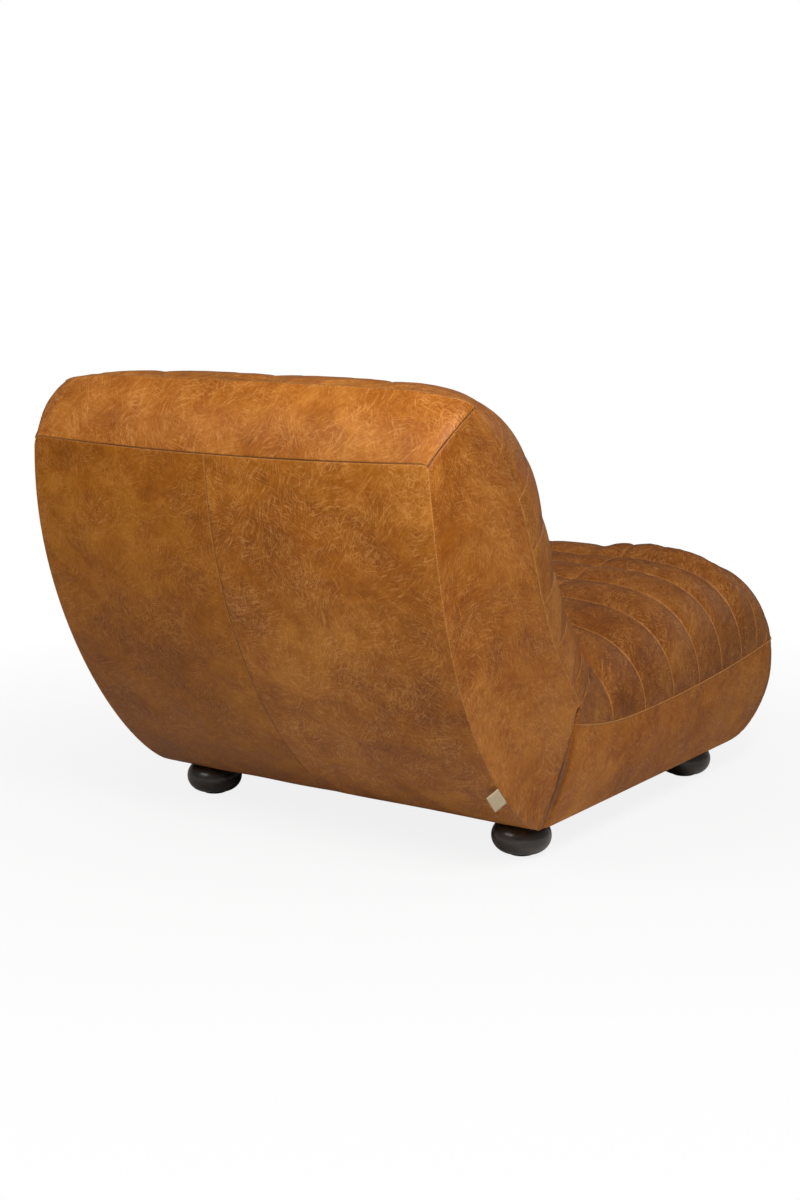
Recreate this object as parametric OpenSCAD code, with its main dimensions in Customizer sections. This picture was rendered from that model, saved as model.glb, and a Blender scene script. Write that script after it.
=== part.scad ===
// Low armless lounge chair: a back unit bolted to a seat unit, quilted leather covers, bun feet.
// Millimetres. +Z is up and the sitter faces -Y, so +X is on the sitter's left.
// The origin is on the floor, under the middle of the chair's outline.

/* [Overall] */
// Length from the front roll to the outer back panel
chair_l = 1160; // [1040:10:1280]
// Width over the lower edge of the leather
chair_w = 732; // [660:2:820]

/* [Feet] */
// Thickness of the felt glide
glide_t = 3; // [2:0.5:5]
// Radius of the felt glide
glide_r = 19; // [12:0.5:20]
// Height of the turned bun
bun_h = 52; // [46:1:60]
// Radius of the turned bun at its widest
bun_r = 46.4; // [44:0.2:52]
// Height of the collar between bun and frame
collar_h = 5; // [3:0.5:10]
// Radius of the collar
collar_r = 24; // [18:0.5:30]
// Distance from the chair's lower side edge to a foot's axis
foot_side = 61.5; // [58:0.5:66]
// Distance from the back joint's foot to the rear feet's axis
foot_rear = 35; // [33:0.5:40]
// Distance from the front to the front feet's axis
foot_front = 263; // [250:1:280]

/* [Back unit] */
// How far the leather hangs below the wooden frame
hem = 3; // [2:0.5:4]
// Height of the outer back panel
back_rise = 575; // [520:1:620]
// How far the outer panel swells out behind its foot
back_overhang = 297; // [270:1:320]
// Thickness of the back unit at its lower tip
tip_t = 11; // [10:0.5:16]
// Lean of the joint between seat and back from the vertical
joint_tilt = 31; // [29:0.5:33]
// Height of that joint above the leather's lower edge
joint_rise = 165; // [160:1:172]
// Forward run of the top gusset at its corners
top_run = 89; // [80:1:96]
// Rise of the top gusset at its corners
top_rise = 69; // [60:1:80]
// How far the top edge of the outer panel dips in the middle
top_dip = 9; // [2:1:14]
// Swell of the top gusset
top_swell = 13; // [6:1:16]
// Swell of the side gussets and borders
side_swell = 5; // [2:0.5:8]
// S-shaped sway of the side seam
seam_sway = 17; // [6:1:20]
// How much wider the back is at shoulder height than at its foot, per side
back_flare = 14; // [10:1:20]
// Crown of the quilted front over the side seam
back_crown = 150; // [130:1:165]
// Half width of the two middle columns of the quilting
back_col = 205; // [180:1:225]
// Offset of the middle seam of the outer panel at its foot
seam_low_x = 10; // [0:1:20]
// Offset of the middle seam of the outer panel at its top
seam_top_x = 25; // [10:1:40]
// Radius of the outer panel's upper corners
panel_corner = 13; // [10:1:20]
// How much narrower the outer panel is at its top than at its foot, per side
panel_taper = 3.5; // [0:0.5:6]
// Swell of the outer panel's side edges
panel_belly = 6.5; // [0:0.5:9]
// Swell of the mitre between the side and top gussets
mitre_swell = 11; // [4:1:14]

/* [Seat unit] */
// Height of the front belly below its widest point
belly_h = 133; // [125:1:140]
// Depth of the front belly
belly_l = 210; // [195:1:225]
// Depth of the rounded front roll
roll_l = 155; // [140:1:170]
// Height of the rounded front roll
roll_h = 190; // [180:1:200]
// Depth of the rounded front corners in plan
corner_l = 60; // [45:1:70]
// Height of the border seam at the joint with the back
border_rear = 143; // [136:1:150]
// Height of the border seam at its lowest point
border_low = 121; // [116:1:130]
// Height of the border seam at the front corners
border_corner = 154; // [150:1:158]
// Distance from the joint's foot to the lowest point of the border seam
border_dip = 292; // [270:1:310]
// Distance from the front to the last cross seam of the seat
nose_l = 92; // [84:1:100]
// How far the ends of that seam bow back
seam_bow = 18; // [8:1:24]
// Height of the quilted seat over the leather's lower edge, at the back
seat_rear_h = 235; // [228:1:236]
// The same at the front
seat_front_h = 300; // [290:1:310]
// Half width of the middle column of the quilting
seat_col = 122; // [100:1:140]

/* [Covers] */
// Thickness of the leather panels
leather_t = 2.4; // [1.6:0.2:3]
// Thickness of the padded leather gussets and borders
gusset_t = 3; // [2.4:0.2:4]
// Thickness of the quilted covers
quilt_t = 14; // [10:1:16]
// Puff of the quilted channels
puff = 9; // [5:1:14]
// Rise of the seat cover's rear corners under the back
ear = 19; // [10:1:21]
// Thickness of the wadding over the back board
wadding_t = 5.4; // [4:0.2:7]
// Thickness of the bent back board
board_t = 3; // [2.4:0.2:4]
// Thickness of lining, deck cloth and dust cover
cloth_t = 1; // [0.8:0.1:1.4]

/* [Frame] */
// Distance from the leather's lower side edge to the gables
gable_side = 20; // [18:1:24]
// Thickness of the plywood gables
ply_t = 18; // [15:1:21]
// Thickness of the rails
rail_t = 22; // [18:1:26]
// Height of the base rails and corner blocks
base_h = 40; // [34:1:46]
// Length of the corner blocks
block_l = 88; // [80:1:96]
// Height of the spring rails' top over the frame's underside
rail_top = 125; // [118:1:130]
// Height of the back unit's rails
back_rail_h = 70; // [60:1:80]
// Depth of the cover and pad in front of the nose
nose_pad = 25; // [22:1:30]
// Depth of the foam in front of the back frame's lower end
line_fore = 16; // [12:1:20]
// Height of the back frame's lower end over the joint
line_foot = 3; // [2:1:5]
// Distance from the rear of the chair to the back frame's upper front edge
line_rear = 110; // [106:1:120]
// Depth of the padding over the back frame's upper end
line_drop = 29; // [26:1:34]
// Depth of the rounded upper end of the back gables
crown_l = 85; // [80:1:90]
// How far that round starts below the outer panel's top
crown_drop = 7; // [4:1:10]
// Height of the back gables' lower tip over the frame's underside
tip_h = 15; // [12:1:20]
// Rise of the centre rib's lower tip over the gables' tip
rib_h = 40; // [34:1:46]
// How far the gables' shoulder lies below the joint's top
shoulder_h = 18; // [14:1:22]
// Height of the lower back rail's underside, along the joint
lower_rail_z0 = 25; // [20:1:30]
// Height of the lower back rail's top, along the joint
lower_rail_z1 = 158; // [150:1:160]
// Distance from the chair's lower side edge to the end of the pad over the top rail
top_pad_side = 66; // [60:2:90]
// Thickness of the pad over the top rail
top_pad_t = 16; // [12:1:18]
// Distance from the border seam to the foot of the seat foam
foam_side = 26; // [24:1:32]

/* [Springs and webbing] */
// Radius of the spring wire
wire_r = 1.8; // [1.5:0.1:2.1]
// Width of a sinuous spring
spring_w = 56; // [48:1:64]
// Number of sinuous springs
spring_n = 5; // [4:1:6]
// Number of runs in a spring
spring_runs = 17; // [13:2:19]
// Thickness of a spring clip
clip_t = 1.4; // [1:0.1:1.8]
// Width of the elastic webbing
web_w = 60; // [50:1:70]
// Thickness of the elastic webbing
web_t = 1.5; // [1.2:0.1:2]
// Number of webbing straps in the back
web_n = 5; // [4:1:6]
// Distance from the ends of the back frame's front edge to the webbing
web_end = 15; // [10:1:20]

/* [Fasteners] */
// Radius of the bolts between seat and back
bolt_r = 4; // [3:0.5:5]
// Spacing of those bolts
bolt_pitch = 140; // [120:5:160]
// Height of those bolts, along the joint
bolt_z = 104; // [96:1:110]
// Radius of the feet's hanger bolts
hanger_r = 4; // [3:0.5:5]

/* [Tag] */
// Length of the blank tag along its seam
tag_w = 36; // [24:1:44]
// How far the tag stands out of the seam
tag_l = 22; // [14:1:28]
// Slant of the tag
tag_slant = 25; // [0:1:30]
// Lift of the tag off the outer panel
tag_lift = 40; // [20:1:60]
// Thickness of the tag
tag_t = 0.9; // [0.6:0.1:1.4]

/* [Clearances] */
// Clearance between soft pieces and their neighbours
fit = 0.3; // [0.2:0.05:0.5]
// Glue line between wooden pieces
glue = 0.1; // [0.05:0.05:0.2]

/* [Hidden] */

$fn = 48;

leather = "#9a5a24";
leather_dark = "#86491b";
foam_color = "#e6d9a8";
wood_color = "#c9a36b";
cloth_color = "#3a3a3c";
steel = "#b8bcc0";
bun_color = "#2e2620";

// Levels and lines that the pieces share
half_w = chair_w/2;
front_y = -chair_l/2;
rear_y = chair_l/2;
frame_z = glide_t + bun_h + collar_h;
low_z = frame_z - hem;
back_foot_y = rear_y - back_overhang;
joint_y0 = back_foot_y - tip_t;
joint_top_z = low_z + joint_rise;
panel_top_z = low_z + back_rise;
panel_half = half_w - 2;
panel_top_half = panel_half - panel_taper;
mitre_half = panel_top_half - 0.3*panel_corner;
gable_x1 = half_w - gable_side;
gable_x0 = gable_x1 - ply_t;
rail_x = gable_x0 - glue;
cloth_d = fit + cloth_t;
rail_d = cloth_d + fit;
foot_x = half_w - foot_side;
foot_y1 = joint_y0 - foot_rear;
foot_y0 = front_y + foot_front;
rail_z = frame_z + rail_top;
spring_z = rail_z + clip_t + fit + wire_r;
clip_z = spring_z + wire_r + fit + clip_t;
deck_z = clip_z + fit;
foam_z = deck_z + cloth_t + fit;

// Depths of the layers behind the outer panel, measured inwards
wadding_d = leather_t + fit;
board_d = wadding_d + wadding_t + fit;
gable_d = board_d + board_t + fit;

function mix(a, b, f) = a*(1 - f) + b*f;
function unit(v) = v/norm(v);
function polar(a) = [cos(a), sin(a)];

// A 2-D profile in Y and Z, carried across the chair
module across(x0, x1) translate([x0, 0, 0]) rotate([90, 0, 90]) linear_extrude(x1 - x0) children();

// A 2-D outline in X and Z, carried along the chair
module along(y0, y1) translate([0, y1, 0]) rotate([90, 0, 0]) linear_extrude(y1 - y0) children();

// Frame of the joint between seat and back: local +Y points into the back unit
module joint_frame() translate([0, joint_y0, low_z]) rotate([joint_tilt, 0, 0]) children();
function joint_y(z) = joint_y0 - (z - low_z)*tan(joint_tilt);
function joint_pt(d, z) = [joint_y(z) + d/cos(joint_tilt), z];

// Profile of the outer back panel, by angle from its foot to its top, and lines inside it
function rear_at(a) = [
    back_foot_y + back_overhang*pow(sin(a), 1.5),
    low_z + back_rise*(1 - cos(a))
];
function rear_dir(a) = unit(rear_at(min(a + 1, 90)) - rear_at(max(a - 1, 0)));
function rear_in(a, d) = rear_at(a) + d*[-rear_dir(a)[1], rear_dir(a)[0]];
function rear_line(a0, a1, d, n) = [for (i = [0:n]) rear_in(mix(a0, a1, i/n), d)];
function reversed(v) = [for (i = [len(v) - 1:-1:0]) v[i]];
function rear_band(a0, a1, d0, d1, n = 24) =
    concat(rear_line(a0, a1, d0, n), reversed(rear_line(a0, a1, d1, n)));
function panel_edge(z) =
    let(f = (z - low_z)/back_rise) panel_half - panel_taper*f + panel_belly*sin(180*f*f);
function panel_top(x) = panel_top_z - top_dip*(1 - pow(x/panel_half, 2));

// Side seam of the back, from the joint's top (0) to the upper corner (1)
seam_low = [joint_y(joint_top_z) + 3, joint_top_z + 7];
seam_top = [rear_y - top_run, panel_top_z + top_rise];
seam_dir = unit(seam_top - seam_low);
seam_out = [-seam_dir[1], seam_dir[0]];
function seam_at(s) = mix(seam_low, seam_top, s) - seam_sway*sin(360*s)*seam_out;

// The seam is straight between the rows of the quilting
back_rows = 7;
joint_share = 0.25;
function row_s(k) = k >= back_rows ? 0 : 1 - k/(back_rows - 0.5);
function seam_t(s) = joint_share + (1 - joint_share)*s;
function side_w(t) = half_w + back_flare*lookup(t, [[0, 0], [0.25, 0.3], [0.6, 1], [0.9, 1], [1, 0.8]]);

// A quilting row: seam end (y, z), crest (y, z), inward direction (y, z), squareness, half width,
// puff of the channel after it, the share of the inward step that the seam end takes too, and the
// rise of the channel's corners
function crown(u, e) = sqrt(max(0, 1 - pow(abs(u), e)));
function skin(r, u, d) = let(g = crown(u, r[6])) [
    (r[7] - d)*u,
    mix(r[0] + d*r[9]*r[4], r[2] + d*r[4], g),
    mix(r[1] + d*r[9]*r[5], r[3] + d*r[5], g)
];
function row_mix(rows, k, f) = mix(rows[k], rows[min(k + 1, len(rows) - 1)], f);
function lift(f) = f <= 0 || f >= 1 ? 0 : pow(sin(180*f), 0.8);
function notch(u, col) = 1 - 0.8*exp(-pow((abs(u) - col)/0.06, 2));
function swell(u, cols) = notch(u, cols[0])*notch(u, cols[1])*(1 - 0.85*pow(abs(u), 3));
function outward(r, u) = let(a = 90*pow(abs(u), 5)) [sign(u)*sin(a), -r[4]*cos(a), -r[5]*cos(a)];
function ear_at(u) = lookup(abs(u), [[0.8, 0], [0.9, 0.55], [0.96, 1], [1, 0]]);
function puffed(rows, k, f, u, cols) =
    let(r = row_mix(rows, k, f), up = -unit([r[4], r[5]]))
    skin(r, u, 0) + rows[k][8]*lift(f)*swell(u, cols)*outward(r, u)
        + rows[k][10]*lift(f)*ear_at(u)*[0, up[0], up[1]];
function both_sides(half) = concat([for (i = [len(half) - 1:-1:1]) -half[i]], half);

// Rows of the back: the front cover turns under at the last seam and ends on the joint
function back_row(k) =
    let(s = row_s(k),
        a = lookup(s, [[0, 147], [0.08, 150], [0.3, 152], [0.54, 150], [0.69, 143], [0.85, 117], [1, 40]]),
        share = lookup(s, [[0, 0.9], [0.08, 0.98], [0.3, 1], [0.69, 0.97], [0.85, 0.58], [1, 0.25]]),
        n = lookup(s, [[0, 194], [0.08, 152], [0.54, 150], [0.69, 141], [0.85, 105], [1, 72]]),
        deep = k >= back_rows ? 1.35 : 1,
        p = seam_at(s) + fit*seam_out,
        m = p + back_crown*share*polar(a),
        o = -deep*polar(n))
    [p[0], p[1], m[0], m[1], o[0], o[1], k < 2 ? 6 : 5, side_w(seam_t(s)),
        k == back_rows ? 0 : puff*min(1, 0.35 + 0.25*k), 0, 0];
back_end = [joint_y(joint_top_z) + 0.4, joint_top_z + 0.4];
back_end_row = [back_end[0], back_end[1], back_end[0], back_end[1], 0.555, 0.83, 5,
    side_w(joint_share), 0, 0.4, 0];
back_skin = concat([for (k = [0:back_rows]) back_row(k)], [back_end_row]);
back_crest_end = [back_skin[back_rows][2], back_skin[back_rows][3]];
back_u = both_sides([0, 0.1, 0.27, 0.44, back_col/side_w(0.8), 0.64, 0.76, 0.86, 0.94, 0.985, 1]);
back_cols = [0, back_col/side_w(0.8)];

// Border seam of the seat, by its distance along the chair
border_y = joint_y0 - border_dip;
function border_z(y) = low_z + border_low + (y > border_y
    ? (border_rear - border_low)*pow((y - border_y)/(joint_y(low_z + border_rear) - border_y), 2)
    : (border_corner - border_low)*pow((border_y - y)/(border_y - front_y - corner_l), 2));

// Outline of the front, by angle from the underside: the belly and, past 90, the roll above it
nose_z = low_z + belly_h;
nose_top = 98;
function nose(a, d = 0) = a <= 90
    ? [front_y + belly_l - (belly_l - d)*sin(a), nose_z - (belly_h - d)*cos(a)]
    : [front_y + roll_l - (roll_l - d)*sin(a), nose_z - (roll_h - d)*cos(a)];
seat_side = half_w + 2;

// Rows of the seat: hidden rear edge, cross seams, nose seam, border seam
seat_rows = 6;
seat_fade = 0.0057;
first_row = back_crest_end + [2, -5];
last_row_y = front_y + nose_l;
nose_seam = 120;
function seat_f(k) = k/seat_rows + seat_fade*k*(seat_rows - k);
function seat_h(f) = low_z + mix(seat_rear_h, seat_front_h, pow(sin(99*f), 1.25));
function seat_row(k) =
    let(f = seat_f(k),
        y = mix(first_row[0], last_row_y, f),
        ys = y + seam_bow*pow(f, 8),
        p = [ys, border_z(ys) + fit],
        o = k == 0 ? [-0.31, -1] : k == seat_rows ? [0.3, -0.95] : [0, -1])
    [p[0], p[1], y, seat_h(f), o[0], o[1], k == seat_rows ? 6 : 5, seat_side,
        puff*(k < 5 ? 0.9 : k == 5 ? 2.2 : 1.6), 0, 0];
rear_edge = joint_pt(-1, low_z + border_rear);
rear_crest = joint_pt(-1, joint_top_z - 3.5);
corner_edge = [nose(nose_top)[0] + corner_l, low_z + border_corner];
seat_skin = concat(
    [[rear_edge[0], rear_edge[1] + fit, rear_crest[0], rear_crest[1], -0.56, -0.83, 5, seat_side, 0, 0,
        ear]],
    [for (k = [0:seat_rows]) seat_row(k)],
    [[corner_edge[0] + 12, border_z(corner_edge[0] + 12) + fit, nose(nose_seam)[0],
        nose(nose_seam)[1], 0.85, -0.53, 9, seat_side, puff/3, 0, 0]],
    [[corner_edge[0], corner_edge[1] + fit, nose(nose_top)[0], nose(nose_top)[1] + fit, 1, 0, 12,
        seat_side, 0, 0, 0]]);
seat_u = both_sides([0, 0.11, 0.22, seat_col/seat_side, 0.44, 0.57, 0.7, 0.81, 0.9, 0.96, 1]);
seat_cols = [seat_col/seat_side, seat_col/seat_side];

// Triangles of a grid of n rows and m columns, the same on both sides of its middle
function grid_faces(n, m, at, out) = [
    for (i = [0:n - 2]) for (j = [0:m - 2])
        let(a = at + i*m + j, b = a + 1, c = a + m, e = c + 1,
            pair = j < (m - 1)/2 ? [[a, b, e], [a, e, c]] : [[a, b, c], [b, e, c]])
            each out ? pair : [reversed(pair[0]), reversed(pair[1])]
];
function end_faces(m, o, i, first) = [
    for (j = [0:m - 2]) each first
        ? [[o + j + 1, o + j, i + j], [o + j + 1, i + j, i + j + 1]]
        : [[o + j, o + j + 1, i + j + 1], [o + j, i + j + 1, i + j]]
];
function plate_sides(n, m, i0) = [
    for (i = [0:n - 2]) let(a = i*m, b = a + m, c = a + m - 1, e = b + m - 1) each [
        [a, b, i0 + b], [a, i0 + b, i0 + a], [e, c, i0 + c], [e, i0 + c, i0 + e]
    ]
];
module plate(outer, inner, n, m) {
    i0 = n*m;
    polyhedron(
        points = concat(outer, inner),
        faces = concat(grid_faces(n, m, 0, true), grid_faces(n, m, i0, false),
            end_faces(m, 0, i0, true), end_faces(m, (n - 1)*m, i0 + (n - 1)*m, false),
            plate_sides(n, m, i0))
    );
}

// A quilted cover: puffed channels outside, one flat strip a row inside
subs = [0, 0.2, 0.5, 0.8];
function fan(o, i, i1, step, out) = [
    for (q = [0:len(subs) - 1])
        let(a = o + q*step, b = a + step, c = q < 2 ? i : i1) out ? [a, b, c] : [b, a, c]
];
module quilt(rows, us, cols, d) {
    m = len(us);
    nk = len(rows);
    ns = len(subs);
    n = (nk - 1)*ns + 1;
    i0 = n*m;
    last = m - 1;
    polyhedron(
        points = concat(
            [for (k = [0:nk - 2]) for (f = subs) for (u = us) puffed(rows, k, f, u, cols)],
            [for (u = us) skin(rows[nk - 1], u, 0)],
            [for (r = rows) for (u = us) skin(r, u, d)]),
        faces = concat(
            grid_faces(n, m, 0, true), grid_faces(nk, m, i0, false),
            end_faces(m, 0, i0, true), end_faces(m, (n - 1)*m, i0 + (nk - 1)*m, false),
            [for (k = [0:nk - 2]) let(o = k*ns*m, i = i0 + k*m) each concat(
                fan(o, i, i + m, m, true), [[i + m, i, o + 2*m]],
                fan(o + last, i + last, i + m + last, m, false),
                [[i + last, i + m + last, o + 2*m + last]])])
    );
}

// Back unit: leather
module outer_half(side) {
    gap = fit/2;
    low = seam_low_x + side*gap;
    top = seam_top_x + side*gap;
    r = panel_corner;
    x1 = side*panel_top_half;
    cx = x1 - side*r;
    cz = panel_top(cx) - r;
    steps = 8;
    flap_half = panel_half - gusset_t - fit;
    intersection() {
        union() {
            across(-half_w - panel_belly, half_w + panel_belly)
                polygon(rear_band(0, 90, 0, leather_t));
            across(-flap_half, flap_half) polygon([
                [joint_y0 + fit, low_z], rear_at(0), rear_in(0, leather_t),
                [joint_y0 + fit, low_z + leather_t]]);
        }
        along(joint_y0, rear_y + 1) polygon(concat(
            [[low, low_z - 1], [side*panel_half, low_z - 1]],
            [for (z = [low_z:(cz - low_z)/steps:cz - 1]) [side*panel_edge(z), z]],
            [for (i = [0:steps]) [cx + side*r*cos(90*i/steps), cz + r*sin(90*i/steps)]],
            [for (i = [1:steps]) let(x = mix(cx, top, i/steps)) [x, panel_top(x)]]));
    }
}
module back_outer_left() color(leather) outer_half(1);
module back_outer_right() color(leather) outer_half(-1);

// Rows of the side gusset: the joint's edge below, then the quilting rows and their middles
gusset_t_list = concat(
    [for (i = [0:3]) joint_share*i/4],
    [for (k = [back_rows:-1:1]) each [seam_t(row_s(k)), (seam_t(row_s(k)) + seam_t(row_s(k - 1)))/2]],
    [1]);
function seam_poly(s) =
    let(k = [for (q = [back_rows:-1:1]) if (s >= row_s(q) && s <= row_s(q - 1)) q][0],
        f = (s - row_s(k))/(row_s(k - 1) - row_s(k)))
    mix(seam_at(row_s(k)), seam_at(row_s(k - 1)), f);
function side_front(t) = t < joint_share
    ? mix([joint_y0, low_z], seam_low, t/joint_share)
    : seam_poly(min(1, max(0, (t - joint_share)/(1 - joint_share))));
function gusset_rear_x(t) =
    mix(panel_edge(rear_in(90*t, wadding_d)[1]), mitre_half, max(0, (t - 0.88)/0.12));
function mitre_push(j) = mitre_swell*sin(180*j)*unit([2, 1, 2]);
function gusset_pt(t, j, d) =
    let(r = rear_in(90*t, wadding_d), f = side_front(t),
        puffy = side_swell*sin(180*j)*(1 - pow(t, 8))*(1 - pow(1 - t, 8)))
    [mix(gusset_rear_x(t), side_w(t), j) + puffy - d, mix(r[0], f[0], j), mix(r[1], f[1], j)]
        + pow(t, 8)*mitre_push(j);
module gusset_side() {
    js = [0, 0.25, 0.5, 0.75, 1];
    plate([for (t = gusset_t_list) for (j = js) gusset_pt(t, j, 0)],
        [for (t = gusset_t_list) for (j = js) gusset_pt(t, j, gusset_t)],
        len(gusset_t_list), len(js));
}
module back_gusset_left() color(leather) gusset_side();
module back_gusset_right() color(leather) mirror([1, 0, 0]) gusset_side();

// The top gusset runs between the side gussets, from the outer panel to the first quilting row
function top_gusset_pt(j, u, d) =
    let(r = back_skin[0], g = crown(u, r[6]), inset = gusset_t + fit,
        x0 = (mitre_half - inset)*u, x1 = (r[7] - inset)*u, side = pow(abs(u), 6),
        a = [rear_y, panel_top(x0) + fit], b = [mix(r[0], r[2], g), mix(r[1], r[3], g)] - 2*fit*seam_out,
        n = unit([b[1] - a[1], a[0] - b[0]]),
        push = side*mitre_push(j),
        p = mix(a, b, j) + top_swell*sin(180*j)*(1 - side)*n - d*polar(72*j))
    [mix(x0, x1, j) + sign(u)*push[0], p[0] + push[1], p[1] + push[2]];
module back_gusset_top() color(leather) {
    js = [0, 0.25, 0.5, 0.75, 1];
    plate([for (j = js) for (u = back_u) top_gusset_pt(j, u, 0)],
        [for (j = js) for (u = back_u) top_gusset_pt(j, u, gusset_t)], len(js), len(back_u));
}
module back_quilt() color(leather_dark) quilt(back_skin, back_u, back_cols, quilt_t);

// Back unit: frame. The front edges of gables and rails lie on one leaning line
line_low = [joint_y0 - line_fore, joint_top_z + line_foot];
line_top = [rear_y - line_rear, seam_top[1] - line_drop];
line_dir = unit(line_top - line_low);
line_l = norm(line_top - line_low);
lean = atan2(line_dir[0], line_dir[1]);
function lean_pt(d, h) = line_low + d*[line_dir[1], -line_dir[0]] + h*line_dir;
module lean_frame() translate([0, line_low[0], line_low[1]]) rotate([-lean, 0, 0]) children();

crown_y = rear_y - crown_l;
crown_z = panel_top_z - crown_drop;
crown_a = rear_y - gable_d - crown_y;
crown_b = line_top[1] - crown_z;
function crown_arc(a, b, z, n = 8) = [for (i = [0:n]) [crown_y + a*cos(90*i/n), z + b*sin(90*i/n)]];
tip_z = frame_z + tip_h;
rib_tip_z = tip_z + rib_h;
shoulder_z = joint_top_z - shoulder_h;
gable_a0 = 13;
rib_a0 = 28;
board_a0 = 6;
board_a1 = 84;
back_gable_outline = concat(
    [line_low, [joint_pt(rail_d, shoulder_z + 8)[0] + 6, shoulder_z + 8], joint_pt(rail_d, shoulder_z),
        joint_pt(rail_d, tip_z)],
    rear_line(gable_a0, board_a1, gable_d, 18),
    crown_arc(crown_a, crown_b, crown_z),
    [line_top]);
module back_gable() across(gable_x0, gable_x1) polygon(back_gable_outline);
module back_gable_left() color(wood_color) back_gable();
module back_gable_right() color(wood_color) mirror([1, 0, 0]) back_gable();
module back_rail(h, z) lean_frame() translate([-rail_x, 0, h]) cube([2*rail_x, rail_t, z]);
top_rail_h = line_l - back_rail_h;
module back_top_rail() color(wood_color) back_rail(top_rail_h, back_rail_h);
module back_mid_rail() color(wood_color) back_rail((line_l - back_rail_h)/2, back_rail_h);

// The lower rail lies on the joint, and the bolts from the seat go through it
module bolt_holes(y, r) for (i = [-1.5:1:1.5])
    translate([i*bolt_pitch, y - 1, bolt_z]) rotate([-90, 0, 0]) cylinder(r = r, h = rail_t + 2);
module back_lower_rail() color(wood_color) joint_frame() difference() {
    translate([-rail_x, rail_d, lower_rail_z0]) cube([2*rail_x, rail_t, lower_rail_z1 - lower_rail_z0]);
    bolt_holes(rail_d, bolt_r + 0.5);
}
module back_center_rib() color(wood_color) across(-ply_t/2, ply_t/2) polygon(concat(
    [lean_pt(rail_t + glue, 0), joint_pt(rail_d + rail_t + glue, shoulder_z),
        joint_pt(rail_d + rail_t + glue, rib_tip_z)],
    rear_line(rib_a0, board_a1, gable_d, 16),
    [lean_pt(rail_t + glue, line_l - 4)]));

// Back unit: board, wadding, webbing, foam and linings
inner_half = gable_x1 + 4;
module back_panel_board() color("#8a6a45")
    across(-inner_half, inner_half) polygon(rear_band(board_a0, board_a1, board_d, board_d + board_t));
module back_wadding() color("#f2f0ea")
    across(-inner_half, inner_half) polygon(rear_band(board_a0, board_a1, wadding_d, wadding_d + wadding_t));
web_d = web_t + fit;
module back_webbing() color("#4a4038") lean_frame() for (i = [0:web_n - 1])
    translate([-gable_x1 + 1, -web_d, mix(web_end, line_l - web_end - web_w, i/(web_n - 1))])
        cube([2*gable_x1 - 2, web_t, web_w]);
foam_d = web_d + fit;
foam_top = [crown_y - 6, line_top[1] + 14];
function foam_base(k) = k == 0 ? foam_top : k > back_rows ? lean_pt(-foam_d, 4)
    : lean_pt(-foam_d, mix(web_end + 3, line_l + 3, row_s(k)/row_s(1)));
function inner_us(us) = [for (i = [1:len(us) - 2]) us[i]];
module back_foam() color(foam_color) {
    us = inner_us(back_u);
    m = len(us);
    n = len(back_skin);
    plate([for (r = back_skin) for (u = us) skin(r, u, quilt_t + fit)],
        [for (k = [0:n - 1]) for (u = us) let(q = foam_base(k)) [gable_x1*u/us[m - 1], q[0], q[1]]], n, m);
}
top_pad_half = half_w - top_pad_side;
module back_top_pad() color(foam_color) across(-top_pad_half, top_pad_half) polygon(concat(
    crown_arc(crown_a + 2, crown_b + top_pad_t, crown_z + 2),
    reversed(crown_arc(crown_a + fit, crown_b + fit, crown_z + 2))));
pad_t = gable_side - gusset_t - 3;
module back_side_pad() across(gable_x1 + fit, gable_x1 + pad_t) polygon(concat(
    [lean_pt(3, 4), joint_pt(rail_d + 4, joint_top_z - 20), joint_pt(rail_d + 4, tip_z + 4)],
    rear_line(16, 72, gable_d + 3, 14),
    [lean_pt(3, line_l - 90)]));
module back_side_pad_left() color(foam_color) back_side_pad();
module back_side_pad_right() color(foam_color) mirror([1, 0, 0]) back_side_pad();
module lining(d, z0, z1) joint_frame() difference() {
    translate([-gable_x1, d, z0]) cube([2*gable_x1, cloth_t, z1 - z0]);
    bolt_holes(d, bolt_r + 1);
}
module back_lining() color(cloth_color) lining(fit, 20, 180);

// Seat unit: leather
border_a = [0, 18, 36, 56, 76, nose_top];
function border_share(j) = (nose(border_a[j])[1] - low_z)/(nose(nose_top)[1] - low_z);
function border_x(s) = mix(half_w, seat_side, s) + side_swell*sin(180*s);
function corner_at(a) = corner_l*sin(max(8, min(a, 90)));
seat_ys = [for (r = seat_skin) r[0]];
rows_n = len(seat_ys);
function border_pt(j, k, d) =
    let(s = border_share(j), top = mix(low_z, border_z(seat_ys[k]), s),
        f = (seat_ys[0] - seat_ys[k])/(seat_ys[0] - seat_ys[rows_n - 1]),
        y0 = joint_y(top) - 1, y1 = nose(border_a[j])[0] + corner_at(border_a[j]) + fit)
    [border_x(s) - d, mix(y0, y1, f), top];
module border_side() {
    n = len(border_a);
    plate([for (j = [0:n - 1]) for (k = [0:rows_n - 1]) border_pt(j, k, 0)],
        [for (j = [0:n - 1]) for (k = [0:rows_n - 1]) border_pt(j, k, gusset_t)], n, rows_n);
}
module seat_border_left() color(leather) border_side();
module seat_border_right() color(leather) mirror([1, 0, 0]) border_side();
function front_pt(a, s, u, d) =
    let(g = crown(u, 12), step = g*(nose(a, d) - nose(a)),
        z = low_z + s*mix(border_corner, nose(nose_top)[1] - low_z, g))
    [(border_x(s) - d)*u, nose(a)[0] + step[0] + corner_at(a)*(1 - g), z + step[1]];
module seat_border_front() color(leather) {
    us = reversed(seat_u);
    n = len(border_a);
    plate([for (j = [0:n - 1]) for (u = us) front_pt(border_a[j], border_share(j), u, 0)],
        [for (j = [0:n - 1]) for (u = us) front_pt(border_a[j], border_share(j), u, gusset_t)],
        n, len(us));
}
module seat_quilt() color(leather_dark) quilt(seat_skin, seat_u, seat_cols, quilt_t);

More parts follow.
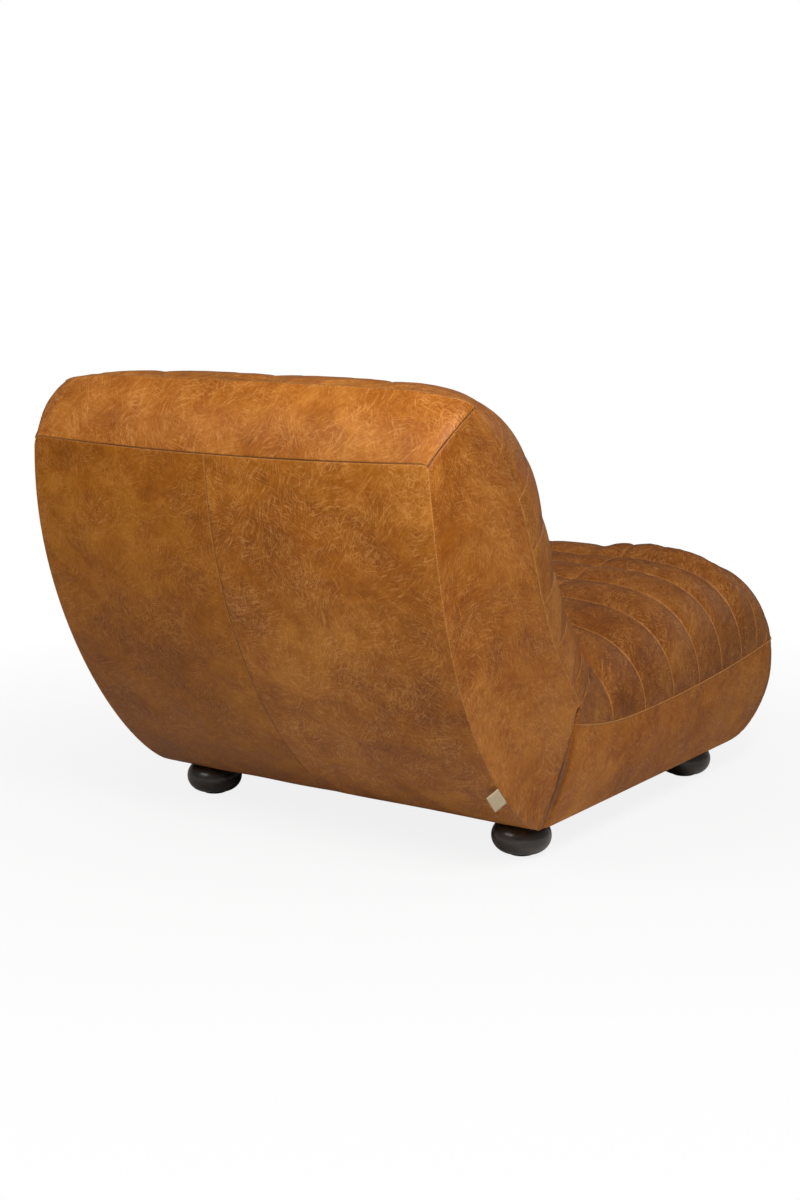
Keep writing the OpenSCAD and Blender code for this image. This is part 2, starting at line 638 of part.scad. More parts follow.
// Seat unit: foam and pads
foam_edge = seat_side - foam_side;
foam_front = nose(nose_top, nose_pad + 6)[0];
function seat_base_y(k) = k == 0 ? joint_y(foam_z) - 3
    : k >= rows_n - 1 ? foam_front
    : k == rows_n - 2 ? mix(last_row_y, foam_front, 0.6)
    : seat_skin[k][2];
module seat_foam() color(foam_color) {
    us = inner_us(seat_u);
    m = len(us);
    plate([for (r = seat_skin) for (u = us) skin(r, u, quilt_t + fit)],
        [for (k = [0:rows_n - 1]) for (u = us)
            [abs(u) > 0.95 ? sign(u)*foam_edge : (seat_side - quilt_t)*u, seat_base_y(k), foam_z]],
        rows_n, m);
}
pad_rows = [1, 2, 3, 4, 4.5];
function border_row(j, u, d) =
    let(a = floor(j), b = ceil(j))
    mix(front_pt(border_a[a], border_share(a), u, d), front_pt(border_a[b], border_share(b), u, d), j - a);
module seat_front_pad() color(foam_color) {
    us = reversed([for (u = seat_u) if (abs(u) < 0.91) u]);
    plate([for (j = pad_rows) for (u = us) border_row(j, u, gusset_t + 2*fit)],
        [for (j = pad_rows) for (u = us)
            let(a = mix(border_a[floor(j)], border_a[ceil(j)], j - floor(j)),
                p = nose(min(a, 90), nose_pad - fit))
                [(seat_side - gable_side)*u, p[0], p[1]]],
        len(pad_rows), len(us));
}
function nose_line(a0, a1, d, n = 10) = [for (i = [0:n]) nose(mix(a0, a1, i/n), d)];
module seat_side_pad() across(gable_x1 + fit, gable_x1 + pad_t) polygon(concat(
    [joint_pt(-4, low_z + border_low - 4), joint_pt(-4, frame_z + 2)],
    [for (a = [20:10:70]) nose(a) + [corner_l, gusset_t + 1]],
    [[nose(70)[0] + corner_l, low_z + border_low - 4]]));
module seat_side_pad_left() color(foam_color) seat_side_pad();
module seat_side_pad_right() color(foam_color) mirror([1, 0, 0]) seat_side_pad();

// Seat unit: frame
seat_gable_outline = concat(
    [joint_pt(-rail_d, clip_z), joint_pt(-rail_d, frame_z), [front_y + belly_l + 10, frame_z]],
    nose_line(4, 90, nose_pad, 12),
    [[nose(90, nose_pad)[0] + 2, clip_z]]);
module seat_gable() across(gable_x0, gable_x1) polygon(seat_gable_outline);
module seat_gable_left() color(wood_color) seat_gable();
module seat_gable_right() color(wood_color) mirror([1, 0, 0]) seat_gable();

block_x0 = rail_x - block_l;
base_top = frame_z + base_h;
front_block_y0 = foot_y0 - block_l/2;
front_block_y1 = foot_y0 + block_l/2;
rear_block_y0 = foot_y1 - block_l/2;
module bore_at_feet(z, r, h) for (x = [-foot_x, foot_x]) for (y = [foot_y0, foot_y1])
    translate([x, y, z]) cylinder(r = r, h = h);
insert_r = hanger_r + 2;
insert_h = 25;
module corner_blocks() color(wood_color) difference() {
    for (side = [-1, 1]) {
        translate([side > 0 ? block_x0 : -rail_x, front_block_y0, frame_z])
            cube([block_l, block_l, base_h]);
        across(side > 0 ? block_x0 : -rail_x, side > 0 ? rail_x : -block_x0) polygon([
            [rear_block_y0, frame_z], joint_pt(-rail_d, frame_z), joint_pt(-rail_d, base_top),
            [rear_block_y0, base_top]]);
    }
    bore_at_feet(frame_z - 1, insert_r + fit, base_h + 2);
}
module base_rail_front() color(wood_color) translate([-block_x0 + glue, front_block_y0, frame_z])
    cube([2*(block_x0 - glue), 2*rail_t, base_h]);
module base_rail_rear() color(wood_color) across(-block_x0 + glue, block_x0 - glue) polygon([
    [joint_pt(-rail_d, base_top)[0] - rail_t, frame_z], joint_pt(-rail_d, frame_z),
    joint_pt(-rail_d, base_top), [joint_pt(-rail_d, base_top)[0] - rail_t, base_top]]);
module base_rail_side() translate([rail_x - 2*rail_t, front_block_y1 + glue, frame_z])
    cube([2*rail_t, rear_block_y0 - front_block_y1 - 2*glue, base_h]);
module base_rail_left() color(wood_color) base_rail_side();
module base_rail_right() color(wood_color) mirror([1, 0, 0]) base_rail_side();
module seat_front_rail() color(wood_color) translate([-rail_x, front_block_y0, base_top + glue])
    cube([2*rail_x, rail_t, rail_z - base_top - glue]);
module seat_rear_rail() color(wood_color) difference() {
    across(-rail_x, rail_x) polygon([
        joint_pt(-rail_d, rail_z), joint_pt(-rail_d, base_top + glue),
        joint_pt(-rail_d - rail_t, base_top + glue), joint_pt(-rail_d - rail_t, rail_z)]);
    joint_frame() bolt_holes(-rail_d - rail_t, bolt_r + 0.5);
}
cross_y = (foot_y0 + foot_y1)/2;
module seat_cross_rail() color(wood_color) translate([-rail_x, cross_y - rail_t/2, base_top + glue])
    cube([2*rail_x, rail_t, (rail_z - base_top)/2]);
nose_rail_a = 60;
nose_rail_y = nose(nose_rail_a, nose_pad)[0] + 1;
nose_rail_z = nose(nose_rail_a, nose_pad)[1] + 1;
module seat_nose_rail() color(wood_color) translate([-rail_x, nose_rail_y, nose_rail_z])
    cube([2*rail_x, rail_t, clip_z - nose_rail_z]);
module seat_nose_board() color(wood_color)
    translate([-rail_x, nose_rail_y + rail_t + glue, clip_z - 8])
        cube([2*rail_x, front_block_y0 - nose_rail_y - rail_t - 2*glue, 8]);
module seat_lining() color(cloth_color) lining(-cloth_d, 8, 176);
module seat_deck_cloth() color("#d8d2c4") translate([-gable_x1, nose_rail_y + 2, deck_z])
    cube([2*gable_x1, joint_y(deck_z) - 3 - nose_rail_y - 2, cloth_t]);

// Sinuous springs: straight runs joined by half turns, from the front rail to the rear rail
spring_y0 = front_block_y0 + rail_t/2;
spring_y1 = joint_pt(-rail_d - rail_t/2, rail_z)[0];
spring_pitch = (spring_y1 - spring_y0)/(spring_runs - 1);
spring_gap = 2*(gable_x0 - spring_w)/spring_n;
function spring_x(i) = (i - (spring_n - 1)/2)*spring_gap;
wire_sides = 6;
bend_steps = 4;
spring_reach = (spring_w - spring_pitch)/2;
function bend(i) = let(side = i % 2 == 0 ? 1 : -1) [
    for (q = [0:bend_steps]) let(a = 180*q/bend_steps - 90) [
        side*(spring_reach + spring_pitch/2*cos(a)), spring_y0 + (i + 0.5 + sin(a)/2)*spring_pitch]
];
spring_path = concat(
    [[-spring_reach, spring_y0]],
    [for (i = [0:spring_runs - 2]) each bend(i)],
    [[(spring_runs % 2 == 0 ? -1 : 1)*spring_reach, spring_y1]]);
module sinuous_spring() {
    n = len(spring_path);
    points = [for (i = [0:n - 1])
        let(d = unit(spring_path[min(i + 1, n - 1)] - spring_path[max(i - 1, 0)]))
            for (q = [0:wire_sides - 1]) let(a = 360*q/wire_sides) [
                spring_path[i][0] + wire_r*cos(a)*d[1], spring_path[i][1] - wire_r*cos(a)*d[0],
                wire_r*sin(a)]];
    polyhedron(points = points, faces = concat(
        [[for (q = [0:wire_sides - 1]) q]],
        [[for (q = [wire_sides - 1:-1:0]) (n - 1)*wire_sides + q]],
        [for (i = [0:n - 2]) for (q = [0:wire_sides - 1])
            let(a = i*wire_sides + q, b = i*wire_sides + (q + 1) % wire_sides)
                each [[a, a + wire_sides, b], [b, a + wire_sides, b + wire_sides]]]));
}
module seat_springs() color(steel)
    for (i = [0:spring_n - 1]) translate([spring_x(i), 0, spring_z]) sinuous_spring();
module spring_clips() color(steel) for (i = [0:spring_n - 1]) for (y = [spring_y0, spring_y1])
    let(toe = y == spring_y0 ? 1 : -1, heel = wire_r + fit, gap_h = 2*wire_r + 2*fit)
        translate([0, y, rail_z]) across(spring_x(i) - 11, spring_x(i) + 11) polygon([
            [toe*7, 0], [-toe*(heel + clip_t), 0], [-toe*(heel + clip_t), 2*clip_t + gap_h],
            [toe*6, 2*clip_t + gap_h], [toe*6, clip_t + gap_h], [-toe*heel, clip_t + gap_h],
            [-toe*heel, clip_t], [toe*7, clip_t]]);

// Fasteners between seat and back, along the joint's normal
washer_t = 1.6;
nut_h = 6.5;
head_h = 5.3;
bolt_y0 = -rail_d - rail_t - washer_t;
bolt_y1 = rail_d + rail_t + washer_t;
module at_bolts() joint_frame() for (i = [-1.5:1:1.5])
    translate([i*bolt_pitch, 0, bolt_z]) rotate([-90, 0, 0]) children();
module joint_bolts() color(steel) at_bolts() {
    translate([0, 0, bolt_y0 - head_h]) cylinder(r = 1.85*bolt_r, h = head_h, $fn = 6);
    translate([0, 0, bolt_y0]) cylinder(r = bolt_r, h = bolt_y1 + nut_h + 2 - bolt_y0);
}
module ring(r0, r1, h) difference() {
    cylinder(r = r1, h = h);
    translate([0, 0, -1]) cylinder(r = r0, h = h + 2);
}
module joint_washers() color(steel) at_bolts() {
    translate([0, 0, bolt_y0]) ring(bolt_r + 0.25, 2.7*bolt_r, washer_t);
    translate([0, 0, bolt_y1 - washer_t]) ring(bolt_r + 0.25, 2.7*bolt_r, washer_t);
}
module joint_nuts() color(steel) at_bolts() translate([0, 0, bolt_y1]) difference() {
    cylinder(r = 1.85*bolt_r, h = nut_h, $fn = 6);
    translate([0, 0, -1]) cylinder(r = bolt_r + 0.1, h = nut_h + 2);
}

// Feet: turned buns on hanger bolts and threaded inserts
hanger_z0 = glide_t + bun_h*0.3;
hanger_z1 = frame_z + insert_h + 4;
module bun_foot(x, y) color(bun_color) translate([x, y, glide_t]) difference() {
    rotate_extrude($fn = 64) difference() {
        union() {
            translate([bun_r - bun_h/2, bun_h/2]) circle(r = bun_h/2, $fn = 64);
            square([bun_r - bun_h/2, bun_h]);
            square([collar_r, bun_h + collar_h]);
        }
        translate([-bun_r, -bun_h]) square([bun_r, 3*bun_h]);
    }
    translate([0, 0, hanger_z0 - glide_t]) cylinder(r = hanger_r + 0.1, h = bun_h + collar_h);
}
module foot_rear_left() bun_foot(foot_x, foot_y1);
module foot_rear_right() bun_foot(-foot_x, foot_y1);
module foot_front_left() bun_foot(foot_x, foot_y0);
module foot_front_right() bun_foot(-foot_x, foot_y0);
module foot_glides() color("#5b534a") bore_at_feet(0, glide_r, glide_t);
module hanger_bolts() color(steel) bore_at_feet(hanger_z0 + fit, hanger_r, hanger_z1 - hanger_z0 - fit);
module foot_inserts() color(steel) difference() {
    bore_at_feet(frame_z + glue, insert_r, insert_h);
    bore_at_feet(frame_z - 1, hanger_r + 0.1, insert_h + 3);
}

// Dust cover under the frame, from hem to hem, cut round the collars of the feet
cover_half = half_w - gusset_t - 1;
cover_y0 = front_y + belly_l + 1.5;
cover_y1 = joint_y(frame_z) - 3;
cover_cut = 45;
module dust_cover() color(cloth_color) difference() {
    translate([0, 0, frame_z - fit - cloth_t]) linear_extrude(cloth_t) polygon([
        [-cover_half, cover_y1], [-cover_half, cover_y0 + 2*corner_at(0)],
        [-cover_half + cover_cut, cover_y0], [cover_half - cover_cut, cover_y0],
        [cover_half, cover_y0 + 2*corner_at(0)], [cover_half, cover_y1]]);
    bore_at_feet(low_z - 2, collar_r + 1, 10);
}

// Blank tag: one edge in the seam low on the back, the rest lifted off the outer panel
tag_a = 33;
module label_tag() color("#cdb894")
    let(p = rear_in(tag_a, -fit), d = rear_dir(tag_a - 2), c = cos(tag_lift), n = sin(tag_lift))
        translate([-panel_half + tag_t, p[0], p[1]])
            multmatrix([[0, c, n, 0], [-d[0], n*d[1], -c*d[1], 0], [-d[1], -n*d[0], c*d[0], 0]])
                multmatrix([[1, tan(tag_slant), 0, 0], [0, 1, 0, 0], [0, 0, 1, 0]])
                    translate([0, 0, -tag_t]) cube([tag_w, tag_l, tag_t]);

back_outer_left();
back_outer_right();
back_gusset_left();
back_gusset_right();
back_gusset_top();
back_quilt();
back_foam();
back_wadding();
back_panel_board();
back_gable_left();
back_gable_right();
back_center_rib();
back_top_rail();
back_mid_rail();
back_lower_rail();
back_webbing();
back_top_pad();
back_side_pad_left();
back_side_pad_right();
back_lining();
seat_quilt();
seat_border_left();
seat_border_right();
seat_border_front();
seat_foam();
seat_front_pad();
seat_side_pad_left();
seat_side_pad_right();
seat_deck_cloth();
seat_springs();
spring_clips();
seat_gable_left();
seat_gable_right();
seat_front_rail();
seat_rear_rail();
seat_cross_rail();
seat_nose_rail();
seat_nose_board();
base_rail_front();
base_rail_rear();
base_rail_left();
base_rail_right();
corner_blocks();
seat_lining();
joint_bolts();
joint_washers();
joint_nuts();
foot_rear_left();
foot_rear_right();
foot_front_left();
foot_front_right();
foot_glides();
hanger_bolts();
foot_inserts();
dust_cover();
label_tag();
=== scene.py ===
"""Looks of a low armless lounge chair in tan leather, built around its packed construction.

Metres, +Z up. The sitter faces -Y, so +X is on the sitter's left. The origin is on the floor.
"""

import logging
import math
from collections.abc import Callable, Iterable, Iterator
from dataclasses import dataclass, field
from enum import Enum

import bmesh
import bpy
import numpy as np
from mathutils import Matrix, Vector


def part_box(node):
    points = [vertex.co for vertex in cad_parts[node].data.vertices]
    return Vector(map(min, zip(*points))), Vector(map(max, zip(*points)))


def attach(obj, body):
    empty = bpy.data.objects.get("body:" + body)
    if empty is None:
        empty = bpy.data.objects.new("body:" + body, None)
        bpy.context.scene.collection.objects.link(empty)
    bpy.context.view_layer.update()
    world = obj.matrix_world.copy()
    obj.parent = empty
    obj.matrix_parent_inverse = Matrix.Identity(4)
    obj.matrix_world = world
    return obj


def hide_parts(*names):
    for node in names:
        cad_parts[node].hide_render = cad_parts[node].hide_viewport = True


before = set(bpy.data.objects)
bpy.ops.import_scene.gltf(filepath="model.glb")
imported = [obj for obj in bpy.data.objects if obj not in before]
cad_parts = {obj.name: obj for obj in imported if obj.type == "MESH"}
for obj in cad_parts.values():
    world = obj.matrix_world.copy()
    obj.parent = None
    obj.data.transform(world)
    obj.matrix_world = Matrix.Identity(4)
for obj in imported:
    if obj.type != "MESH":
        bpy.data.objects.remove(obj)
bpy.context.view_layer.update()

LOG = logging.getLogger("lounge_chair")
BODY = "root"
QUARTER = math.pi/2
# Sides of the chair as the sitter has them, by the sign of x
SIDES = {1: "left", -1: "right"}
# Usual distance between the lines of a grid, and of the coarser grid that is simulated
STEP = 0.0075
COARSE = 0.0085
# Distances from a seam at which a grid has extra lines, in quilting and in plain leather
NEAR_QUILT = (0.0, 0.0009, 0.0021, 0.0038, 0.0062, 0.0098)
NEAR_PLAIN = (0.0, 0.0007, 0.0016, 0.0028, 0.0044, 0.0068)
# Height and width of the folded edge along the top of the seat's border
LIP_H = 0.0016
LIP_W = 0.0012

Values = float | np.ndarray
Places = list[float] | np.ndarray
Curve = tuple[tuple[float, ...], tuple[float, ...]]
Surface = Callable[[np.ndarray, np.ndarray], np.ndarray]
Socket = bpy.types.NodeSocket
Setting = Socket | float | tuple[float, ...]
Finishes = dict[str, bpy.types.Material]
Measured = tuple[np.ndarray, np.ndarray, list[float]]


def mix(a: Values, b: Values, f: Values) -> Values:
    """Returns the point or value a share f of the way from a to b."""
    return a*(1 - f) + b*f


def bump_at(distance: Values, width: float) -> Values:
    """Returns 1 at a distance of nothing, falling away over width."""
    return np.exp(-(distance/width)**2)


def ease(value: Values, low: float, high: float) -> Values:
    """Returns 0 below low and 1 above high, with a soft start and end between them."""
    f = np.clip((value - low)/(high - low), 0, 1)
    return f*f*(3 - 2*f)


def glide(x: Values, xs: Places, ys: Places) -> np.ndarray:
    """Reads a smooth curve that passes through given points.

    Args:
        x: Where the curve is read.
        xs: Rising places of the points.
        ys: Values at those places, one row for each.

    Returns:
        One row of values for each entry of x.
    """
    xs, ys = np.asarray(xs, float), np.asarray(ys, float)
    flat = ys.reshape(len(xs), -1)
    slopes = np.gradient(flat, xs, axis=0)
    x = np.clip(np.atleast_1d(x), xs[0], xs[-1])
    i = np.clip(np.searchsorted(xs, x, side="right") - 1, 0, len(xs) - 2)
    h = (xs[i + 1] - xs[i])[:, None]
    t = (x - xs[i])[:, None]/h
    out = (flat[i]*(1 + 2*t)*(1 - t)**2 + flat[i + 1]*t*t*(3 - 2*t)
           + h*slopes[i]*t*(1 - t)**2 - h*slopes[i + 1]*t*t*(1 - t))
    return out.reshape((len(x),) + ys.shape[1:])


def lengths_along(points: np.ndarray, axis: int) -> np.ndarray:
    """Measures how far along its row or column each point of a grid lies.

    Args:
        points: The grid, its last axis holding the coordinates.
        axis: 0 to measure along the columns, 1 to measure along the rows.

    Returns:
        The length from the first point of the column or row to each point.
    """
    steps = np.linalg.norm(np.diff(points, axis=axis), axis=-1)
    start = np.zeros_like(np.take(steps, [0], axis=axis))
    return np.concatenate([start, np.cumsum(steps, axis=axis)], axis=axis)


def ripple(points: np.ndarray, wavelength: float, seed: int, waves: int = 14) -> np.ndarray:
    """Makes a smooth, repeatable unevenness.

    Args:
        points: Places in metres, the last axis holding x, y and z.
        wavelength: Usual distance from one rise to the next.
        seed: Number that picks the pattern.
        waves: How many crossing waves are summed.

    Returns:
        A height from about -1 to 1 for each point.
    """
    draw = np.random.default_rng(seed)
    directions = draw.normal(size=(waves, 3))
    directions /= np.linalg.norm(directions, axis=1)[:, None]
    pitch = 2*math.pi/wavelength*draw.uniform(0.6, 1.5, waves)
    phase = draw.uniform(0, 2*math.pi, waves)
    total = sum(np.sin(points @ (d*k) + p) for d, k, p in zip(directions, pitch, phase))
    return total/math.sqrt(waves)


@dataclass(frozen=True)
class ChairLines:
    """Lines and levels that the covers share, as on the construction."""

    half_w: float = 0.366
    front_y: float = -0.580
    rear_y: float = 0.580
    low_z: float = 0.057
    back_rise: float = 0.575
    back_overhang: float = 0.297
    tip_t: float = 0.011
    joint_tilt: float = math.radians(31)
    joint_rise: float = 0.165
    top_run: float = 0.089
    top_rise: float = 0.069
    top_dip: float = 0.009
    seam_sway: float = 0.017
    seam_step: tuple[float, float] = (0.003, 0.007)
    back_flare: float = 0.014
    flare_shares: Curve = ((0, 0.25, 0.6, 0.9, 1), (0, 0.3, 1, 1, 0.8))
    panel_taper: float = 0.0035
    panel_belly: float = 0.0065
    side_swell: float = 0.005
    mitre_swell: float = 0.011
    belly_h: float = 0.133
    belly_l: float = 0.210
    roll_l: float = 0.155
    roll_h: float = 0.190
    corner_l: float = 0.060
    border_rear: float = 0.143
    border_low: float = 0.121
    border_corner: float = 0.154
    border_dip: float = 0.292
    nose_top: float = math.radians(98)

    @property
    def back_foot_y(self) -> float:
        """Place of the outer panel's foot."""
        return self.rear_y - self.back_overhang

    @property
    def joint_y0(self) -> float:
        """Place where the joint between seat and back meets the leather's lower edge."""
        return self.back_foot_y - self.tip_t

    @property
    def joint_top_z(self) -> float:
        """Height of the joint's upper end."""
        return self.low_z + self.joint_rise

    @property
    def panel_top_z(self) -> float:
        """Height of the outer panel's upper corners."""
        return self.low_z + self.back_rise

    @property
    def panel_half(self) -> float:
        """Half the width of the outer panels."""
        return self.half_w - 0.002

    @property
    def nose_z(self) -> float:
        """Height at which the front is furthest forward."""
        return self.low_z + self.belly_h

    def joint_y(self, z: Values) -> Values:
        """Returns the joint's place at height z."""
        return self.joint_y0 - (z - self.low_z)*math.tan(self.joint_tilt)

    def joint_pt(self, d: float, z: float) -> np.ndarray:
        """Returns the point beside the joint, d into the back unit, at height z."""
        return np.array([self.joint_y(z) + d/math.cos(self.joint_tilt), z])

    def rear(self, a: Values) -> np.ndarray:
        """Returns points of the outer panel's profile by angle from its foot to its top."""
        y = self.back_foot_y + self.back_overhang*np.sin(a)**1.5
        z = self.low_z + self.back_rise*(1 - np.cos(a))
        return np.stack([y, z], -1)

    def panel_edge(self, z: Values) -> Values:
        """Returns half the width of the outer panels at height z."""
        f = np.clip((z - self.low_z)/self.back_rise, 0, 1)
        return self.panel_half - self.panel_taper*f + self.panel_belly*np.sin(math.pi*f*f)

    def mitre_push(self, j: Values) -> np.ndarray:
        """Returns how far the mitre swells out at the share j of its length, on the +X side."""
        return self.mitre_swell*np.sin(math.pi*np.asarray(j))[..., None]*np.array([2, 1, 2])/3

    def panel_top(self, x: Values) -> Values:
        """Returns the height of the outer panel's top edge at x."""
        return self.panel_top_z - self.top_dip*(1 - (x/self.panel_half)**2)

    def seam_at(self, s: Values) -> np.ndarray:
        """Finds points of the back's side seam.

        Args:
            s: Shares of the seam, from the joint (0) to the shoulder (1).

        Returns:
            The points as y and z.
        """
        step_y, step_z = self.seam_step
        low = np.array([self.joint_y(self.joint_top_z) + step_y, self.joint_top_z + step_z])
        top = np.array([self.rear_y - self.top_run, self.panel_top_z + self.top_rise])
        along = (top - low)/np.linalg.norm(top - low)
        out = np.array([-along[1], along[0]])
        s = np.asarray(s)[..., None]
        return mix(low, top, s) - self.seam_sway*np.sin(2*math.pi*s)*out

    def side_w(self, t: Values) -> Values:
        """Returns half the back's width at the share t of its side seam."""
        return self.half_w + self.back_flare*np.interp(t, *self.flare_shares)

    def border_z(self, y: Values) -> Values:
        """Finds the height of the seat's border seam, which dips between its two ends.

        Args:
            y: Places along the chair.

        Returns:
            The seam's height at each place.
        """
        lowest = self.joint_y0 - self.border_dip
        rear_end = self.joint_y(self.low_z + self.border_rear)
        to_rear = (self.border_rear - self.border_low)*((y - lowest)/(rear_end - lowest))**2
        to_front = ((self.border_corner - self.border_low)
                    * ((lowest - y)/(lowest - self.front_y - self.corner_l))**2)
        return self.low_z + self.border_low + np.where(y > lowest, to_rear, to_front)

    def nose(self, a: Values) -> np.ndarray:
        """Finds points of the front's profile, a belly below and a tighter roll above.

        Args:
            a: Angles from the underside upwards.

        Returns:
            The points as y and z.
        """
        a = np.asarray(a, float)
        belly = np.stack([self.front_y + self.belly_l*(1 - np.sin(a)),
                          self.nose_z - self.belly_h*np.cos(a)], -1)
        roll = np.stack([self.front_y + self.roll_l*(1 - np.sin(a)),
                         self.nose_z - self.roll_h*np.cos(a)], -1)
        return np.where(a[..., None] <= QUARTER, belly, roll)

    def corner_at(self, a: Values) -> Values:
        """Returns the depth of the rounded front corner by angle."""
        return self.corner_l*np.sin(np.clip(a, math.radians(8), QUARTER))

    def border_x(self, s: Values) -> Values:
        """Returns half the width of the seat's border at the share s of its height."""
        return self.half_w + 0.002*s + self.side_swell*np.sin(math.pi*s)


LINES = ChairLines()


@dataclass
class QuiltRows:
    """The cross seams of a quilted cover, each a crowned line from side to side.

    Attributes:
        table: One line for each seam: side end (y, z), crest (y, z), inward direction (y, z),
            squareness of the crown, half width, and the share of an inward step at the side end.
        puffs: Rise of the channel after each seam.
        columns: Places of the lengthwise seams, as shares of the half width.
        smooth_to: Seam up to which the cover runs on in one smooth curve.
        notch: How far the channels sink at the lengthwise seams, as a share of their rise.
    """

    table: np.ndarray
    puffs: list[float]
    columns: list[float]
    smooth_to: int
    notch: float = 0.72

    def at(self, k: Values) -> np.ndarray:
        """Reads the table between its seams.

        Args:
            k: Places along the cover, whole numbers at the seams.

        Returns:
            One line of the table for each place.
        """
        count = self.smooth_to + 1
        k = np.atleast_1d(np.asarray(k, float))
        smooth = glide(k, np.arange(count), self.table[:count])
        i = np.clip(np.floor(k).astype(int), 0, len(self.table) - 2)
        straight = mix(self.table[i], self.table[i + 1], (k - i)[:, None])
        return np.where((k <= self.smooth_to)[:, None], smooth, straight)

    def skin(self, k: Values, u: np.ndarray, d: float = 0.0) -> np.ndarray:
        """Finds points of the cover before its channels are puffed.

        Args:
            k: Places along the cover, whole numbers at the seams.
            u: Places across it, from -1 to 1.
            d: Depth inside the cover.

        Returns:
            The points, rows by columns by 3.
        """
        py, pz, my, mz, oy, oz, e, half, share = (c[:, None] for c in self.at(k).T)
        g = self.crown(u, e)
        return np.stack([(half - d)*u + 0*g,
                         mix(py + d*share*oy, my + d*oy, g),
                         mix(pz + d*share*oz, mz + d*oz, g)], -1)

    @staticmethod
    def crown(u: Values, e: Values) -> Values:
        """Returns the crown's share of its rise at u for squareness e."""
        return np.sqrt(np.maximum(0, 1 - np.abs(u)**e))

    def outward(self, k: Values, u: np.ndarray) -> np.ndarray:
        """Finds the direction in which the channels puff.

        Args:
            k: Places along the cover.
            u: Places across it, from -1 to 1.

        Returns:
            The directions, rows by columns by 3.
        """
        rows = self.at(k)
        a = QUARTER*np.abs(u)**5
        return np.stack([np.sign(u)*np.sin(a) + 0*rows[:, :1],
                         -rows[:, 4:5]*np.cos(a), -rows[:, 5:6]*np.cos(a)], -1)

    def puffed(self, k: np.ndarray, u: np.ndarray) -> np.ndarray:
        """Finds points of the cover with its channels puffed between the seams.

        Args:
            k: Places along the cover, whole numbers at the seams.
            u: Places across it, from -1 to 1.

        Returns:
            The points, rows by columns by 3.
        """
        i = np.clip(np.floor(k).astype(int), 0, len(self.puffs) - 1)
        rise = np.array(self.puffs)[i]*np.sin(math.pi*(k - i))**0.72
        swell = (1 - 0.85*np.abs(u)**3)*(1 - ease(np.abs(u), 0.95, 1))
        for column in self.columns:
            swell = swell*(1 - self.notch*np.exp(-(np.abs(np.abs(u) - column)/0.07)**1.5))
        return self.skin(k, u) + (rise[:, None]*swell)[..., None]*self.outward(k, u)


def stations(params: np.ndarray, line: np.ndarray, seams: list[float], step: float,
             near: tuple[float, ...] = (0.0,)) -> tuple[np.ndarray, list[int]]:
    """Spaces the lines of a grid between seams, with extra lines close to each seam.

    Args:
        params: Rising parameters of a measured line.
        line: The line's points at those parameters.
        seams: Parameters of the seams, the grid's two ends among them.
        step: Spacing away from the seams.
        near: Distances from a seam at which extra lines lie, from 0 upwards.

    Returns:
        The parameters of the grid's lines, and which of them are the seams.
    """
    run = lengths_along(line, 0)
    marks = np.interp(seams, params, run)
    kept, index = [], []
    for a, b in zip(marks[:-1], marks[1:]):
        close = [d for d in near if d < 0.4*(b - a)]
        count = max(2, round((b - a - 2*close[-1])/step))
        middle = np.linspace(a + close[-1], b - close[-1], count + 1)[:count + (len(close) > 1)]
        index.append(len(kept))
        kept += [a + d for d in close[:-1]] + list(middle) + [b - d for d in close[-2:0:-1]]
    index.append(len(kept))
    kept.append(marks[-1])
    found = np.interp(kept, run, params)
    found[index] = seams
    return found, index


def straight(length: float, step: float = STEP) -> tuple[np.ndarray, list[int]]:
    """Returns the lines of a grid across a straight run, from 0 to 1, and its two seams."""
    return stations(np.array([0.0, 1.0]), np.array([[0.0, 0.0], [0.0, length]]), [0, 1], step, NEAR_PLAIN)


def refined(values: np.ndarray, more: np.ndarray, apart: float) -> np.ndarray:
    """Returns rising grid lines with more lines put in wherever they lie apart from the first."""
    free = np.abs(more[:, None] - values[None]).min(1) > apart
    return np.sort(np.concatenate([values, more[free]]))


def grid_faces(rows: int, cols: int, start: int = 0) -> list[tuple[int, ...]]:
    """Returns the quads of a grid of points numbered row by row from start."""
    return [(start + i*cols + j, start + i*cols + j + 1, start + (i + 1)*cols + j + 1,
             start + (i + 1)*cols + j) for i in range(rows - 1) for j in range(cols - 1)]


def turned(index: int, count: int, side: int) -> int:
    """Returns a column's number once a grid of count columns on the side +X faces outwards."""
    return count - 1 - index if side > 0 else index


def thin(count: int, every: int) -> list[int]:
    """Picks grid lines for a coarser grid behind a fine one.

    Args:
        count: How many lines the fine grid has.
        every: How many of its steps make one coarse step.

    Returns:
        Numbers of the lines, the first and last among them.
    """
    kept = list(range(0, count - 1, every))
    if len(kept) > 1 and count - 1 - kept[-1] < every/2:
        kept.pop()
    return kept + [count - 1]


def put_in_scene(name: str, data: bpy.types.ID) -> bpy.types.Object:
    """Returns a new object of the scene that shows a mesh, lamp or camera."""
    obj = bpy.data.objects.new(name, data)
    bpy.context.scene.collection.objects.link(obj)
    return obj


def add_object(name: str, verts: np.ndarray | list, faces: list[tuple[int, ...]]) -> bpy.types.Object:
    """Makes a smoothly shaded mesh object in the scene.

    Args:
        name: The piece's name.
        verts: Points in metres.
        faces: Tuples of point numbers.

    Returns:
        The object.
    """
    mesh = bpy.data.meshes.new(name)
    mesh.from_pydata([tuple(map(float, v)) for v in verts], [], faces)
    mesh.validate()
    mesh.polygons.foreach_set("use_smooth", [True]*len(mesh.polygons))
    return put_in_scene(name, mesh)


def face_outwards(obj: bpy.types.Object) -> None:
    """Turns the faces of a closed mesh outwards.

    Args:
        obj: The object that holds the mesh.
    """
    work = bmesh.new()
    work.from_mesh(obj.data)
    bmesh.ops.recalc_face_normals(work, faces=work.faces)
    work.to_mesh(obj.data)
    work.free()


